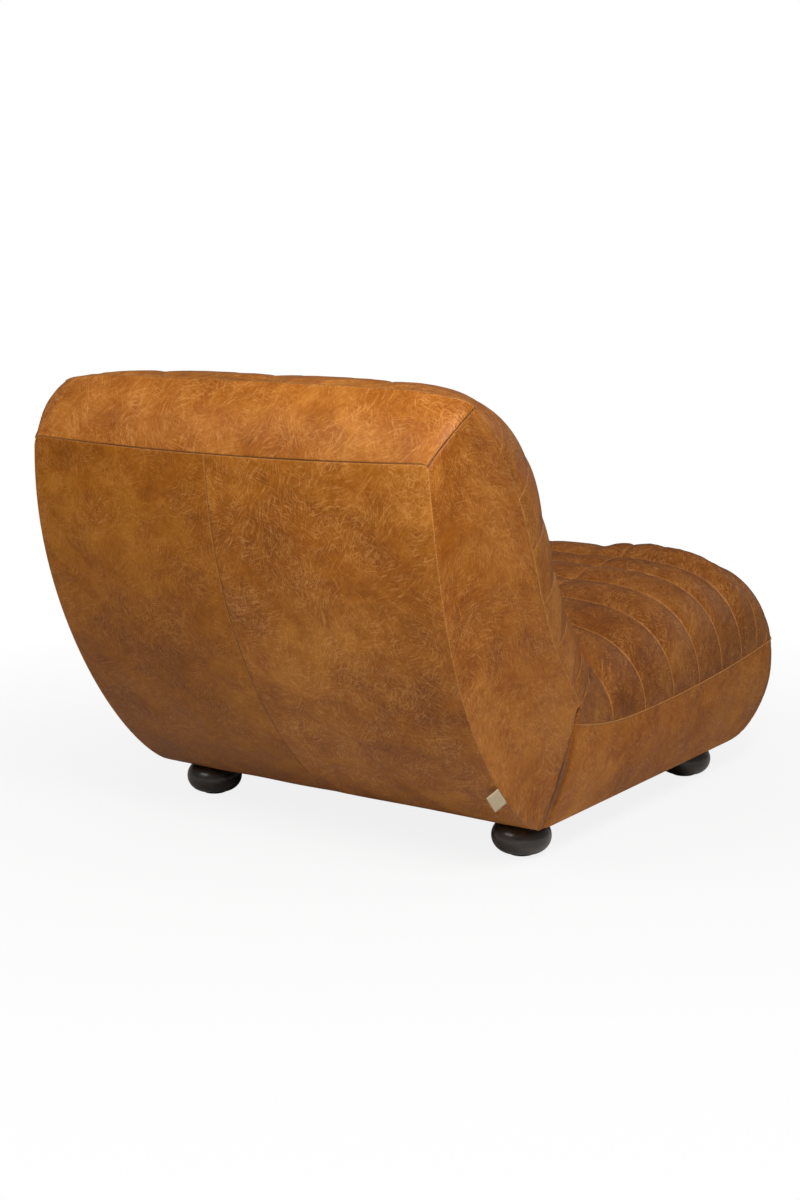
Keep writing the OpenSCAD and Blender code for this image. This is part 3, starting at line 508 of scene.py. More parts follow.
def pushed_out(points: np.ndarray, height: np.ndarray) -> np.ndarray:
    """Returns the points of a grid, each moved outwards by its height."""
    return points + height[..., None]*LeatherPanel.normals(points)


@dataclass(frozen=True)
class SeamShape:
    """How a seam draws the leather in.

    Attributes:
        depth: Depth of the groove.
        width: Half width of the groove.
        ridge: Height of the turned allowance that shows beside the seam.
        pale: How strongly the leather is worn pale along the seam.
        dark: How dark the painted shade in the fold at the seam is.
        shaded: Width of the painted shade beside an edge that is rolled in.
    """

    depth: float
    width: float
    ridge: float
    pale: float
    dark: float
    shaded: float = 0.0022


class SeamKind(Enum):
    """The seams and edges of the covers."""

    QUILTED = SeamShape(0.0024, 0.0030, 0.0, 0.55, 0.4)
    PLAIN = SeamShape(0.0016, 0.0013, 0.0005, 0.6, 1.0)
    FINE = SeamShape(0.0010, 0.0010, 0.0006, 0.9, 0.5)
    FLAT = SeamShape(0.0006, 0.0009, 0.0005, 0.85, 0.0)
    EDGE = SeamShape(0.0, 0.0004, 0.0, 1.0, 0.0)
    JOINT = SeamShape(0.0046, 0.0075, 0.0, 0.0, 0.5)
    BUTT = SeamShape(0.0046, 0.0040, 0.0, 0.0, 0.6, 0.010)
    SOFT = SeamShape(0.0012, 0.0060, 0.0, 0.0, 0.2)


@dataclass(frozen=True)
class ClothRelief:
    """Simulated swelling and creasing of leather that is held along its seams.

    Attributes:
        frames: Length of the simulation.
        pressure: Pressure of the filling.
        slack: Share by which the leather is cut longer than its place.
        cap: Longest move of a point.
    """

    frames: int = 18
    pressure: float = 3.2
    slack: float = 0.035
    cap: float = 0.006

    def of(self, points: np.ndarray, held: np.ndarray) -> np.ndarray:
        """Simulates a grid of leather under the pressure of its filling.

        Args:
            points: The grid at the start, rows by columns by 3, its quads facing outwards.
            held: Whether each point is held by a seam.

        Returns:
            How far each point moved, capped.
        """
        rows, cols, _ = points.shape
        obj = add_object("relief_work", points.reshape(-1, 3), grid_faces(rows, cols))
        group = obj.vertex_groups.new(name="seams")
        group.add([int(i) for i in np.flatnonzero(held.reshape(-1))], 1.0, "REPLACE")
        cloth = obj.modifiers.new("cloth", "CLOTH")
        fabric = cloth.settings
        fabric.quality = 4
        fabric.mass = 0.35
        fabric.tension_stiffness = fabric.compression_stiffness = 30
        fabric.shear_stiffness = 12
        fabric.bending_stiffness = 1.6
        fabric.tension_damping = fabric.compression_damping = fabric.shear_damping = 12
        fabric.use_pressure = True
        fabric.uniform_pressure_force = self.pressure
        fabric.vertex_group_mass = "seams"
        fabric.shrink_min = -self.slack
        fabric.effector_weights.gravity = 0
        cloth.collision_settings.use_collision = False
        cloth.point_cache.frame_start = 1
        cloth.point_cache.frame_end = self.frames
        scene = bpy.context.scene
        for number in range(1, self.frames + 1):
            scene.frame_set(number)
        filled = obj.evaluated_get(bpy.context.evaluated_depsgraph_get())
        moved = np.empty(rows*cols*3)
        filled.to_mesh().vertices.foreach_get("co", moved)
        filled.to_mesh_clear()
        scene.frame_set(1)
        mesh = obj.data
        bpy.data.objects.remove(obj)
        bpy.data.meshes.remove(mesh)
        move = moved.reshape(rows, cols, 3) - points
        size = np.linalg.norm(move, axis=-1, keepdims=True)
        return move*np.minimum(1, self.cap/np.maximum(size, 1e-9))


@dataclass
class LeatherPanel:
    """One cut of leather as a grid of points between its seams.

    Attributes:
        name: The piece's name.
        points: Rows by columns by 3.
        seam_rows: Grid rows that are sewn, with the kind of each seam.
        seam_cols: Grid columns that are sewn, with the kind of each seam.
        thickness: Thickness of the piece.
        seed: Number that picks its unevenness and the place on the hide.
        inner: Points of the inside, or none where it lies a thickness behind the face.
        pucker: Height of the small folds that run out from the seams.
        flatten: How much flatter the sewn rows are at each column, from 0 to 1, or none.
    """

    name: str
    points: np.ndarray
    seam_rows: dict[int, SeamKind]
    seam_cols: dict[int, SeamKind]
    thickness: float
    seed: int
    inner: np.ndarray | None = None
    pucker: float = 0.0005
    flatten: np.ndarray | None = None
    sewn: np.ndarray = field(init=False)
    facing: np.ndarray = field(init=False)
    wear: np.ndarray = field(init=False)
    painted_fold_shade: np.ndarray = field(init=False)

    def __post_init__(self) -> None:
        """Works out the sewn face, where it is worn, and where shade is painted into its folds."""
        self.facing = self.normals(self.points)
        drop = np.zeros(self.points.shape[:2])
        self.wear = np.zeros_like(drop)
        self.painted_fold_shade = np.zeros_like(drop)
        folds = ripple(self.points, 0.013, self.seed)
        flat = 0 if self.flatten is None else self.flatten[None, :]
        for axis, seams in ((0, self.seam_rows), (1, self.seam_cols)):
            run = lengths_along(self.points, axis)
            for index, kind in seams.items():
                gap = np.abs(run - np.take(run, [index], axis=axis))
                flatter = flat if axis == 0 else 0
                seam, pressed = kind.value, SeamKind.FLAT.value
                depth, width, pale, dark = (mix(getattr(seam, part), getattr(pressed, part), flatter)
                                            for part in ("depth", "width", "pale", "dark"))
                groove = np.exp(-(gap/width)**1.25)
                ridge = bump_at(gap - 2.2*width, 1.1*width)
                drop = np.maximum(drop, depth*groove - seam.ridge*ridge)
                drop += self.pucker*folds*np.exp(-gap/0.016)*(1 - groove)*(1 - 0.6*flatter)
                beside = gap - np.maximum(width - 0.0007, 0)
                self.wear = np.maximum(self.wear, pale*bump_at(beside, 0.0008))
                # Painted shade: the colour darkens down in the fold of each seam.
                self.painted_fold_shade = np.maximum(self.painted_fold_shade, dark*np.exp(-(gap/(0.6*width + 0.0003))**2))
        self.sewn = self.points - drop[..., None]*self.facing

    @staticmethod
    def normals(points: np.ndarray) -> np.ndarray:
        """Finds which way a grid faces.

        Args:
            points: Rows by columns by 3, the quads facing outwards.

        Returns:
            The unit normal at each point.
        """
        across = np.gradient(points, axis=1)
        along = np.gradient(points, axis=0)
        out = np.cross(across, along)
        return out/np.maximum(np.linalg.norm(out, axis=-1, keepdims=True), 1e-12)

    def raise_lip(self, row: int) -> None:
        """Raises the folded edge of the leather along a row, where it is worn pale.

        Args:
            row: Number of the row.
        """
        run = lengths_along(self.points, 0)
        gap = np.abs(run - run[row])
        self.sewn = self.sewn + LIP_H*bump_at(gap - 0.0005, LIP_W)[..., None]*self.facing
        self.wear = np.maximum(self.wear, 1.15*bump_at(gap, 0.0020))

    def tuck(self, col: int, where: np.ndarray, kind: SeamKind) -> None:
        """Rolls a side edge straight in, towards the middle of the chair, beside a joint.

        Args:
            col: Number of the grid column that is the edge.
            where: Share of the roll at each row.
            kind: Depth and width of the roll.
        """
        seam = kind.value
        run = lengths_along(self.points, 1)
        gap = np.abs(run - run[:, [col]])
        share = np.asarray(where, float)[:, None]
        drop = seam.depth*share*np.exp(-(gap/seam.width)**1.25)
        if self.inner is None:
            self.inner = self.points - self.thickness*self.facing
        for layer in (self.sewn, self.inner):
            layer[..., 0] -= drop*np.sign(self.points[..., 0])
        # Painted shade beside the edge that is rolled in.
        self.painted_fold_shade = np.maximum(self.painted_fold_shade, seam.dark*share*bump_at(gap, seam.shaded))

    def build(self) -> bpy.types.Object:
        """Makes the closed piece, a fine face over a plain inside.

        Returns:
            The piece.
        """
        rows, cols, _ = self.sewn.shape
        keep_i, keep_j = thin(rows, 4), thin(cols, 4)
        if self.inner is None:
            back = (self.points - self.thickness*self.facing)[np.ix_(keep_i, keep_j)]
        else:
            back = self.inner[np.ix_(keep_i, keep_j)]
        n, m = len(keep_i), len(keep_j)
        start = rows*cols
        faces = grid_faces(rows, cols) + [f[::-1] for f in grid_faces(n, m, start)]
        for rim in self.rims(rows, cols, keep_i, keep_j):
            faces += rim
        verts = np.concatenate([self.sewn.reshape(-1, 3), back.reshape(-1, 3)])
        obj = add_object(self.name, verts, faces)
        face_outwards(obj)
        self.mark(obj, np.ix_(keep_i, keep_j))
        return obj

    @staticmethod
    def rims(rows: int, cols: int, keep_i: list[int], keep_j: list[int]) -> Iterator[list[tuple]]:
        """Closes the four edges with fans between the face and the inside.

        Args:
            rows: Rows of the face.
            cols: Columns of the face.
            keep_i: Rows that the inside lies behind.
            keep_j: Columns that the inside lies behind.

        Yields:
            The faces along one edge.
        """
        n, m = len(keep_i), len(keep_j)
        face = np.arange(rows*cols).reshape(rows, cols)
        back = rows*cols + np.arange(n*m).reshape(n, m)
        sides = [(face[0], back[0], keep_j), (face[-1], back[-1], keep_j),
                 (face[:, 0], back[:, 0], keep_i), (face[:, -1], back[:, -1], keep_i)]
        for outer, inner, keep in sides:
            outer, inner = outer.tolist(), inner.tolist()
            fans, closers = [], []
            for q in range(len(keep) - 1):
                fans += [(outer[p], outer[p + 1], inner[q]) for p in range(keep[q], keep[q + 1])]
                closers.append((outer[keep[q + 1]], inner[q + 1], inner[q]))
            yield fans + closers

    def mark(self, obj: bpy.types.Object, keep: tuple) -> None:
        """Stores the place on the flat hide, the wear and the painted shade of the folds on the mesh's
        points.

        Args:
            obj: The piece, its face's points first and those of its inside after them.
            keep: Picks the grid points that the inside lies behind.
        """
        across, along = lengths_along(self.points, 1), lengths_along(self.points, 0)
        middle = self.points.shape[1]//2
        across = across - across[:, middle:middle + 1]
        shift = np.random.default_rng(self.seed).uniform(-5, 5, 3)
        flat = np.stack([across, along, 0*along], -1) + shift
        hide = obj.data.attributes.new("hide", "FLOAT_VECTOR", "POINT")
        places = np.concatenate([flat.reshape(-1, 3), flat[keep].reshape(-1, 3)])
        hide.data.foreach_set("vector", places.astype(np.float32).reshape(-1))
        for name, values in (("wear", self.wear), ("painted_fold_shade", self.painted_fold_shade)):
            layer = obj.data.attributes.new(name, "FLOAT", "POINT")
            plain = np.concatenate([values.reshape(-1), 0*values[keep].reshape(-1)])
            layer.data.foreach_set("value", plain.astype(np.float32))

    def seam_line(self, axis: int, index: int) -> tuple[np.ndarray, np.ndarray]:
        """Returns the points and normals of a sewn row (axis 0) or column (axis 1)."""
        return np.take(self.sewn, index, axis=axis), np.take(self.facing, index, axis=axis)


def side_flatness(us: np.ndarray) -> np.ndarray:
    """Returns how flat the quilting lies at places across, 0 in the middle and 1 at the sides."""
    return ease(np.abs(us), 0.72, 0.98)


@dataclass
class QuiltGrid:
    """Grid on which a quilted cover is cut, measured along and across it.

    Attributes:
        surface: Gives the cover's points at places k along it and u across it.
        rows: The cover's quilting.
        count: Number of the last seam along the cover.
        measured_at: Place across at which the cover is measured along.
        samples: How many points it is measured with.
        along: Dense parameters, measured line and seams along the cover.
        across: The same across the cover.
    """

    surface: Surface
    rows: QuiltRows
    count: int
    measured_at: float
    samples: int
    along: Measured = field(init=False)
    across: Measured = field(init=False)

    def __post_init__(self) -> None:
        """Measures the cover and lists its seams."""
        dense_k, dense_u = np.linspace(0, self.count, self.samples), np.linspace(-1, 1, 900)
        line_k = self.surface(dense_k, np.array([[self.measured_at]]))[:, 0]
        line_u = self.rows.skin(np.array([3.0]), dense_u[None, :])[0]
        columns = [-place for place in self.rows.columns[::-1] if place] + self.rows.columns
        self.along = dense_k, line_k, list(range(self.count + 1))
        self.across = dense_u, line_u, [-1.0, *columns, 1.0]

    def relief(self, ks: np.ndarray, us: np.ndarray) -> Values:
        """Simulates the cover on a coarse grid and reads the result on a fine one.

        Args:
            ks: The fine grid's places along the cover.
            us: The fine grid's places across it.
        """
        coarse_k, k_seams = stations(*self.along, COARSE)
        coarse_u, u_seams = stations(*self.across, COARSE)
        points = self.surface(coarse_k, coarse_u[None, :])[:, ::-1]
        held = np.zeros(points.shape[:2], bool)
        held[k_seams] = True
        held[:, [len(coarse_u) - 1 - i for i in u_seams]] = True
        move = ClothRelief().of(points, held)[:, ::-1]
        by_row = glide(ks, coarse_k, move)
        fine = glide(us, coarse_u, by_row.transpose(1, 0, 2)).transpose(1, 0, 2)
        return fine*(1 - 0.85*side_flatness(us))[None, :, None]

    @staticmethod
    def sewn_across(us: np.ndarray, seams: list[int]) -> dict[int, SeamKind]:
        """Returns the columns that are sewn once the grid is turned to face outwards."""
        last = len(us) - 1
        return {last - i: SeamKind.EDGE if i in (0, last) else SeamKind.QUILTED for i in seams}


@dataclass
class Stitching:
    """Sewing thread that shows in the seams as short stitches.

    Attributes:
        name: The piece's name.
        pitch: Distance from stitch to stitch.
        length: Length of one stitch.
        radius: Half the thread's thickness.
        sides: Sides of a stitch.
        lift: Height of the thread over the leather.
    """

    name: str
    pitch: float = 0.0044
    length: float = 0.0032
    radius: float = 0.00042
    sides: int = 4
    lift: float = 0.0004
    verts: list[np.ndarray] = field(default_factory=list)
    faces: list[tuple[int, ...]] = field(default_factory=list)

    def sew(self, line: np.ndarray, facing: np.ndarray) -> None:
        """Lays stitches along a line.

        Args:
            line: Points of the seam.
            facing: Directions away from the leather at those points.
        """
        run = lengths_along(line, 0)
        places = np.arange(self.pitch, run[-1] - self.pitch, self.pitch)
        if not len(places):
            return
        at = np.stack([np.interp(places, run, line[:, c]) for c in range(3)], -1)
        ahead = np.stack([np.interp(places + 0.001, run, line[:, c]) for c in range(3)], -1) - at
        ahead /= np.linalg.norm(ahead, axis=1)[:, None]
        up = np.stack([np.interp(places, run, facing[:, c]) for c in range(3)], -1)
        up -= (up*ahead).sum(1)[:, None]*ahead
        up /= np.maximum(np.linalg.norm(up, axis=1)[:, None], 1e-9)
        aside = np.cross(ahead, up)
        centre = at + self.lift*up
        turn = 2*math.pi*np.arange(self.sides)/self.sides
        ends = [centre - 0.5*self.length*ahead - self.radius*up,
                centre + 0.5*self.length*ahead - self.radius*up]
        rings = [centre[:, None] + end*self.length*ahead[:, None]
                 + self.radius*(np.cos(turn)[None, :, None]*aside[:, None]
                                + np.sin(turn)[None, :, None]*up[:, None])
                 for end in (-0.28, 0.28)]
        block = np.concatenate([ends[0][:, None], rings[0], rings[1], ends[1][:, None]], axis=1)
        size, s = block.shape[1], self.sides
        for number in range(len(places)):
            o = len(self.verts) + number*size
            for q in range(s):
                r = (q + 1) % s
                self.faces.append((o, o + 1 + r, o + 1 + q))
                self.faces.append((o + 1 + q, o + 1 + r, o + 1 + s + r, o + 1 + s + q))
                self.faces.append((o + size - 1, o + 1 + s + q, o + 1 + s + r))
        self.verts.extend(block.reshape(-1, 3))

    def follow(self, panel: LeatherPanel, axis: int, seams: Iterable[int]) -> None:
        """Lays stitches along sewn rows (axis 0) or columns (axis 1) of a panel."""
        for index in seams:
            self.sew(*panel.seam_line(axis, index))

    def build(self) -> bpy.types.Object:
        """Makes the stitches as one piece."""
        return add_object(self.name, self.verts, self.faces)


def srgb(code: str) -> tuple[float, float, float, float]:
    """Turns a colour code into a linear colour.

    Args:
        code: Hex code such as "#8f5420".

    Returns:
        Red, green, blue and an alpha of 1.
    """
    parts = [int(code[i:i + 2], 16)/255 for i in (1, 3, 5)]
    linear = [c/12.92 if c <= 0.04045 else ((c + 0.055)/1.055)**2.4 for c in parts]
    return (*linear, 1.0)


class NodeSheet:
    """A material's nodes, laid out by short calls."""

    def __init__(self, name: str) -> None:
        """Starts an empty material with a shader on its output."""
        self.material = bpy.data.materials.new(name)
        self.material.use_nodes = True
        self.tree = self.material.node_tree
        self.tree.nodes.clear()
        self.shader = self.put("ShaderNodeBsdfPrincipled")
        out = self.put("ShaderNodeOutputMaterial")
        self.tree.links.new(self.shader.outputs[0], out.inputs["Surface"])

    def put(self, kind: str, settings: dict | None = None,
            sockets: dict | None = None) -> bpy.types.Node:
        """Adds a node.

        Args:
            kind: The node's type.
            settings: Its properties.
            sockets: Its inputs by name or number, each a value or another node's output.

        Returns:
            The node.
        """
        node = self.tree.nodes.new(kind)
        for key, value in (settings or {}).items():
            setattr(node, key, value)
        self.set(node, sockets or {})
        return node

    def set(self, node: bpy.types.Node, sockets: dict) -> None:
        """Sets or links inputs of a node.

        Args:
            node: The node.
            sockets: Its inputs by name or number, each a value or another node's output.
        """
        for key, value in sockets.items():
            if isinstance(value, bpy.types.NodeSocket):
                self.tree.links.new(value, node.inputs[key])
            else:
                node.inputs[key].default_value = value

    def place(self) -> Socket:
        """Returns the coordinates on the object."""
        return self.put("ShaderNodeTexCoord").outputs["Object"]

    def stored(self, name: str, output: str = "Fac") -> Socket:
        """Returns a value that is stored on the mesh's points."""
        return self.put("ShaderNodeAttribute", {"attribute_name": name}).outputs[output]

    def shade(self, **sockets: Setting) -> None:
        """Sets the shader's inputs, an underscore in a name standing for a space."""
        self.set(self.shader, {key.replace("_", " "): value for key, value in sockets.items()})

    def noise(self, vector: Socket, scale: float, detail: float = 3.0, rough: float = 0.5,
              distortion: float = 0.0) -> Socket:
        """Returns the value of a noise texture."""
        return self.put("ShaderNodeTexNoise", None, {
            "Vector": vector, "Scale": scale, "Detail": detail, "Roughness": rough,
            "Distortion": distortion}).outputs[0]

    def cells(self, vector: Socket, scale: float) -> Socket:
        """Returns the distance of a cell texture."""
        return self.put("ShaderNodeTexVoronoi", None,
                        {"Vector": vector, "Scale": scale}).outputs["Distance"]

    def math(self, operation: str, a: Setting, b: Setting = 0.0) -> Socket:
        """Returns the outcome of a sum on two values."""
        return self.put("ShaderNodeMath", {"operation": operation}, {0: a, 1: b}).outputs[0]

    def span(self, value: Socket, low: float, high: float, to_low: float = 0.0,
             to_high: float = 1.0) -> Socket:
        """Returns a value carried from one range to another, and held inside it."""
        return self.put("ShaderNodeMapRange", {"clamp": True}, {
            0: value, 1: low, 2: high, 3: to_low, 4: to_high}).outputs[0]

    def blend(self, share: Socket, a: Setting, b: Setting) -> Socket:
        """Returns a colour between a and b."""
        return self.put("ShaderNodeMix", {"data_type": "RGBA"}, {0: share, 6: a, 7: b}).outputs[2]

    def ramp(self, value: Socket, stops: list[tuple[float, tuple]]) -> Socket:
        """Colours a value.

        Args:
            value: The value, from 0 to 1.
            stops: Places on the ramp and their colours.

        Returns:
            The colour.
        """
        node = self.put("ShaderNodeValToRGB", None, {0: value})
        band = node.color_ramp.elements
        while len(band) < len(stops):
            band.new(0.5)
        for stop, (place, colour) in zip(band, stops):
            stop.position, stop.color = place, colour
        return node.outputs[0]

    def bump(self, height: Socket, strength: float, distance: float,
             normal: Socket | None = None) -> Socket:
        """Bends a normal by a height.

        Args:
            height: The height.
            strength: Share of the bend.
            distance: How far the surface rises at a height of 1.
            normal: A normal that is bent already, or none.

        Returns:
            The bent normal.
        """
        sockets = {"Height": height, "Strength": strength, "Distance": distance}
        if normal is not None:
            sockets["Normal"] = normal
        return self.put("ShaderNodeBump", None, sockets).outputs[0]

    def stretched(self, vector: Socket, scale: tuple[float, float, float]) -> Socket:
        """Returns stretched coordinates, for marks that run one way."""
        return self.put("ShaderNodeMapping", None, {"Vector": vector, "Scale": scale}).outputs[0]


@dataclass(frozen=True)
class Finish:
    """A finish that one of the chair's materials shows.

    Attributes:
        name: The material's name.
    """

    name: str

    def build(self) -> bpy.types.Material:
        """Makes the material.

        Returns:
            The material.
        """
        sheet = NodeSheet(self.name)
        self.lay_out(sheet)
        return sheet.material

    def lay_out(self, sheet: NodeSheet) -> None:
        """Lays out the material's nodes, each kind of finish in its own way."""
        raise NotImplementedError


@dataclass(frozen=True)
class LeatherFinish(Finish):
    """Tan pull-up leather, mottled, with fine pale creases and scratches.

    Attributes:
        deep: Colour of the darkest patches.
        body: Usual colour.
        pale: Colour of the lightest patches.
        veins: How strongly the pale strokes show.
        crease: Colour of creases, scratches and worn edges.
        shadow: Colour of the painted shade down in the folds.
        roughness: Usual roughness.
        shine: Strength of the reflections.
    """

    deep: str
    body: str
    pale: str
    veins: float
    crease: str = "#c88a48"
    shadow: str = "#3f1d06"
    roughness: float = 0.45
    shine: float = 0.17

    def lay_out(self, sheet: NodeSheet) -> None:
        """Lays out the hide's mottling, strokes, wear, painted shade in the folds, and grain."""
        hide = sheet.stored("hide", "Vector")
        wear, painted_fold_shade = sheet.stored("wear"), sheet.stored("painted_fold_shade")
        cloud = sheet.noise(hide, 4.2, 3.0, 0.55, 0.4)
        patch = sheet.noise(hide, 24.0, 5.0, 0.62, 0.5)
        speck = sheet.noise(hide, 150.0, 4.0, 0.7)
        tone = sheet.math("ADD", sheet.math("MULTIPLY", cloud, 0.40),
                          sheet.math("ADD", sheet.math("MULTIPLY", patch, 0.40),
                                     sheet.math("MULTIPLY", speck, 0.20)))
        colour = sheet.ramp(tone, [(0.37, srgb(self.deep)), (0.50, srgb(self.body)),
                                   (0.63, srgb(self.pale))])
        strokes = self.strokes(sheet, hide)
        colour = sheet.blend(sheet.math("MULTIPLY", strokes, self.veins), colour, srgb(self.crease))
        rub = sheet.math("MULTIPLY", wear, sheet.span(speck, 0.30, 0.60, 0.35, 0.85))
        colour = sheet.blend(rub, colour, srgb(self.crease))
        # Painted shade: darker colour down in seam folds, rolled-in edges and the slit.
        colour = sheet.blend(sheet.math("MULTIPLY", painted_fold_shade, 0.75), colour, srgb(self.shadow))
        gloss = sheet.span(patch, 0.3, 0.7, self.roughness - 0.05, self.roughness + 0.08)
        grain = sheet.cells(hide, 820.0)
        pores = sheet.noise(hide, 1900.0, 2.0, 0.6)
        slack = sheet.noise(hide, 46.0, 4.0, 0.55, 1.1)
        normal = sheet.bump(slack, 0.30, 0.0022)
        normal = sheet.bump(strokes, 0.16, 0.0006, normal)
        normal = sheet.bump(grain, 0.26, 0.0005, normal)
        normal = sheet.bump(pores, 0.16, 0.0003, normal)
        sheet.shade(Base_Color=colour, Roughness=gloss, Normal=normal, Specular_IOR_Level=self.shine)

    @staticmethod
    def strokes(sheet: NodeSheet, hide: Socket) -> Socket:
        """Lays out the pale strokes that criss-cross the hide.

        Args:
            sheet: The material's nodes.
            hide: Places on the flat hide.

        Returns:
            How far each place lies in a stroke, from 0 to 1.
        """
        wander = sheet.put("ShaderNodeTexNoise", None,
                           {"Vector": hide, "Scale": 20.0, "Detail": 2.0}).outputs["Color"]
        bent = sheet.put("ShaderNodeVectorMath", {"operation": "MULTIPLY_ADD"},
                         {0: wander, 1: (0.016, 0.016, 0.0), 2: hide}).outputs[0]
        total = None
        for number, angle in enumerate((0.30, 0.95, 1.45, 2.05, 2.75)):
            run = sheet.put("ShaderNodeMapping", {"vector_type": "TEXTURE"}, {
                "Vector": bent, "Rotation": (0.0, 0.0, angle), "Location": (0.0, 0.0, 3.1*number),
                "Scale": (1/55, 1/450, 1.0)}).outputs[0]
            stroke = sheet.span(sheet.noise(run, 1.0, 2.5, 0.6), 0.53, 0.72)
            moved = sheet.put("ShaderNodeMapping", None, {
                "Vector": hide, "Location": (0.7*number, 1.3*number, 2.0*number)}).outputs[0]
            here = sheet.span(sheet.noise(moved, 15.0, 2.0), 0.40, 0.60)
            part = sheet.math("MULTIPLY", stroke, here)
            total = part if total is None else sheet.math("ADD", total, part)
        return sheet.math("MINIMUM", total, 1.0)


@dataclass(frozen=True)
class ThreadFinish(Finish):
    """Waxed sewing thread.

    Attributes:
        dark: Colour of the painted shade down in the twist.
        light: Colour of the strands.
    """

    dark: str
    light: str

    def lay_out(self, sheet: NodeSheet) -> None:
        """Lays out the thread's twist."""
        twist = sheet.noise(sheet.place(), 2600.0, 2.0)
        # Painted shade: the twist's low places are coloured darker.
        sheet.shade(Base_Color=sheet.ramp(twist, [(0.3, srgb(self.dark)), (0.7, srgb(self.light))]),
                    Roughness=0.55, Normal=sheet.bump(twist, 0.4, 0.0002))


@dataclass(frozen=True)
class LacquerFinish(Finish):
    """Turned beech under dark brown satin lacquer."""

    name: str = "dark_lacquered_beech"
    dark: str = "#21180f"
    light: str = "#42342a"
    haze: str = "#2e241c"

    def lay_out(self, sheet: NodeSheet) -> None:
        """Lays out the wood's grain under the lacquer."""
        place = sheet.place()
        grain = sheet.noise(sheet.stretched(place, (22.0, 22.0, 190.0)), 1.0, 5.0, 0.6, 0.5)
        cloud = sheet.noise(place, 24.0, 3.0)
        colour = sheet.ramp(grain, [(0.32, srgb(self.dark)), (0.70, srgb(self.light))])
        colour = sheet.blend(sheet.span(cloud, 0.4, 0.7, 0.0, 0.4), colour, srgb(self.haze))
        normal = sheet.bump(grain, 0.10, 0.0004)
        sheet.shade(Base_Color=colour, Roughness=sheet.span(cloud, 0.3, 0.7, 0.26, 0.38),
                    Normal=normal, Coat_Weight=0.5, Coat_Roughness=0.18)


@dataclass(frozen=True)
class WoodFinish(Finish):
    """Unfinished wood, solid or in plies.

    Attributes:
        early: Colour between the rings.
        late: Colour of the rings.
        stretch: Rings to the metre along x, y and z.
        plies: Pairs of plies to the metre, or none in solid wood.
        other_ply: Colour of every other ply.
    """

    early: str
    late: str
    stretch: tuple[float, float, float]
    plies: float = 0.0
    other_ply: str = "#a47d4c"

    def lay_out(self, sheet: NodeSheet) -> None:
        """Lays out the rings and, in plywood, the plies."""
        place = sheet.place()
        rings = sheet.noise(sheet.stretched(place, self.stretch), 1.0, 6.0, 0.6, 1.2)
        colour = sheet.ramp(rings, [(0.32, srgb(self.late)), (0.56, srgb(self.early))])
        if self.plies:
            side = sheet.put("ShaderNodeSeparateXYZ", None, {0: place}).outputs[0]
            layer = sheet.math("FRACT", sheet.math("MULTIPLY", side, self.plies))
            colour = sheet.blend(sheet.span(layer, 0.46, 0.54, 0.0, 0.3), colour, srgb(self.other_ply))
        normal = sheet.bump(rings, 0.25, 0.0006)
        sheet.shade(Base_Color=colour, Roughness=0.68, Normal=normal)


@dataclass(frozen=True)
class MetalFinish(Finish):
    """Zinc plated steel."""

    name: str = "zinc_plated_steel"
    dull: str = "#9aa0a5"
    bright: str = "#b4b8bb"

    def lay_out(self, sheet: NodeSheet) -> None:
        """Lays out the plating's haze and drawing marks."""
        place = sheet.place()
        haze = sheet.noise(place, 160.0, 4.0, 0.6)
        drawn = sheet.noise(place, 900.0, 2.0)
        colour = sheet.ramp(haze, [(0.3, srgb(self.dull)), (0.7, srgb(self.bright))])
        sheet.shade(Base_Color=colour, Metallic=1.0, Roughness=sheet.span(haze, 0.3, 0.7, 0.28, 0.44),
                    Normal=sheet.bump(drawn, 0.08, 0.0002))


@dataclass(frozen=True)
class WovenFinish(Finish):
    """Woven or felted cloth.

    Attributes:
        warp: Darker thread colour.
        weft: Lighter thread colour.
        threads: Fineness of the weave.
        rough: Roughness.
    """

    warp: str
    weft: str
    threads: float
    rough: float = 0.9

    def lay_out(self, sheet: NodeSheet) -> None:
        """Lays out the crossing threads and their fuzz."""
        place = sheet.place()
        bands = [sheet.put("ShaderNodeTexWave", {"bands_direction": way}, {
            "Vector": place, "Scale": self.threads, "Distortion": 0.6,
            "Detail": 1.0, "Detail Scale": 3.0}).outputs["Fac"] for way in ("X", "Y")]
        weave = sheet.math("MULTIPLY", bands[0], bands[1])
        fuzz = sheet.noise(place, 900.0, 4.0, 0.7)
        share = sheet.math("ADD", sheet.math("MULTIPLY", weave, 0.6), sheet.math("MULTIPLY", fuzz, 0.4))
        colour = sheet.ramp(share, [(0.2, srgb(self.warp)), (0.65, srgb(self.weft))])
        normal = sheet.bump(weave, 0.35, 0.0005)
        normal = sheet.bump(fuzz, 0.25, 0.0004, normal)
        sheet.shade(Base_Color=colour, Roughness=self.rough, Normal=normal)


@dataclass(frozen=True)
class FoamFinish(Finish):
    """Open-celled foam or loose fibre.

    Attributes:
        light: Colour of the cell walls.
        shade: Colour down in the cells.
        cell: Cells to the metre.
    """

    light: str
    shade: str
    cell: float

    def lay_out(self, sheet: NodeSheet) -> None:
        """Lays out the cells and a faint cloudiness."""
        place = sheet.place()
        pores = sheet.cells(place, self.cell)
        cloud = sheet.noise(place, 12.0, 4.0, 0.6)
        colour = sheet.blend(sheet.span(cloud, 0.35, 0.7), srgb(self.light), srgb(self.shade))
        colour = sheet.blend(sheet.span(pores, 0.0, 0.35, 0.35, 0.0), colour, srgb(self.shade))
        sheet.shade(Base_Color=colour, Roughness=0.92, Normal=sheet.bump(pores, 0.5, 0.0008))


def dress(obj: bpy.types.Object, material: bpy.types.Material) -> None:
    """Gives an object one material on all its faces."""
    obj.data.materials.clear()
    obj.data.materials.append(material)


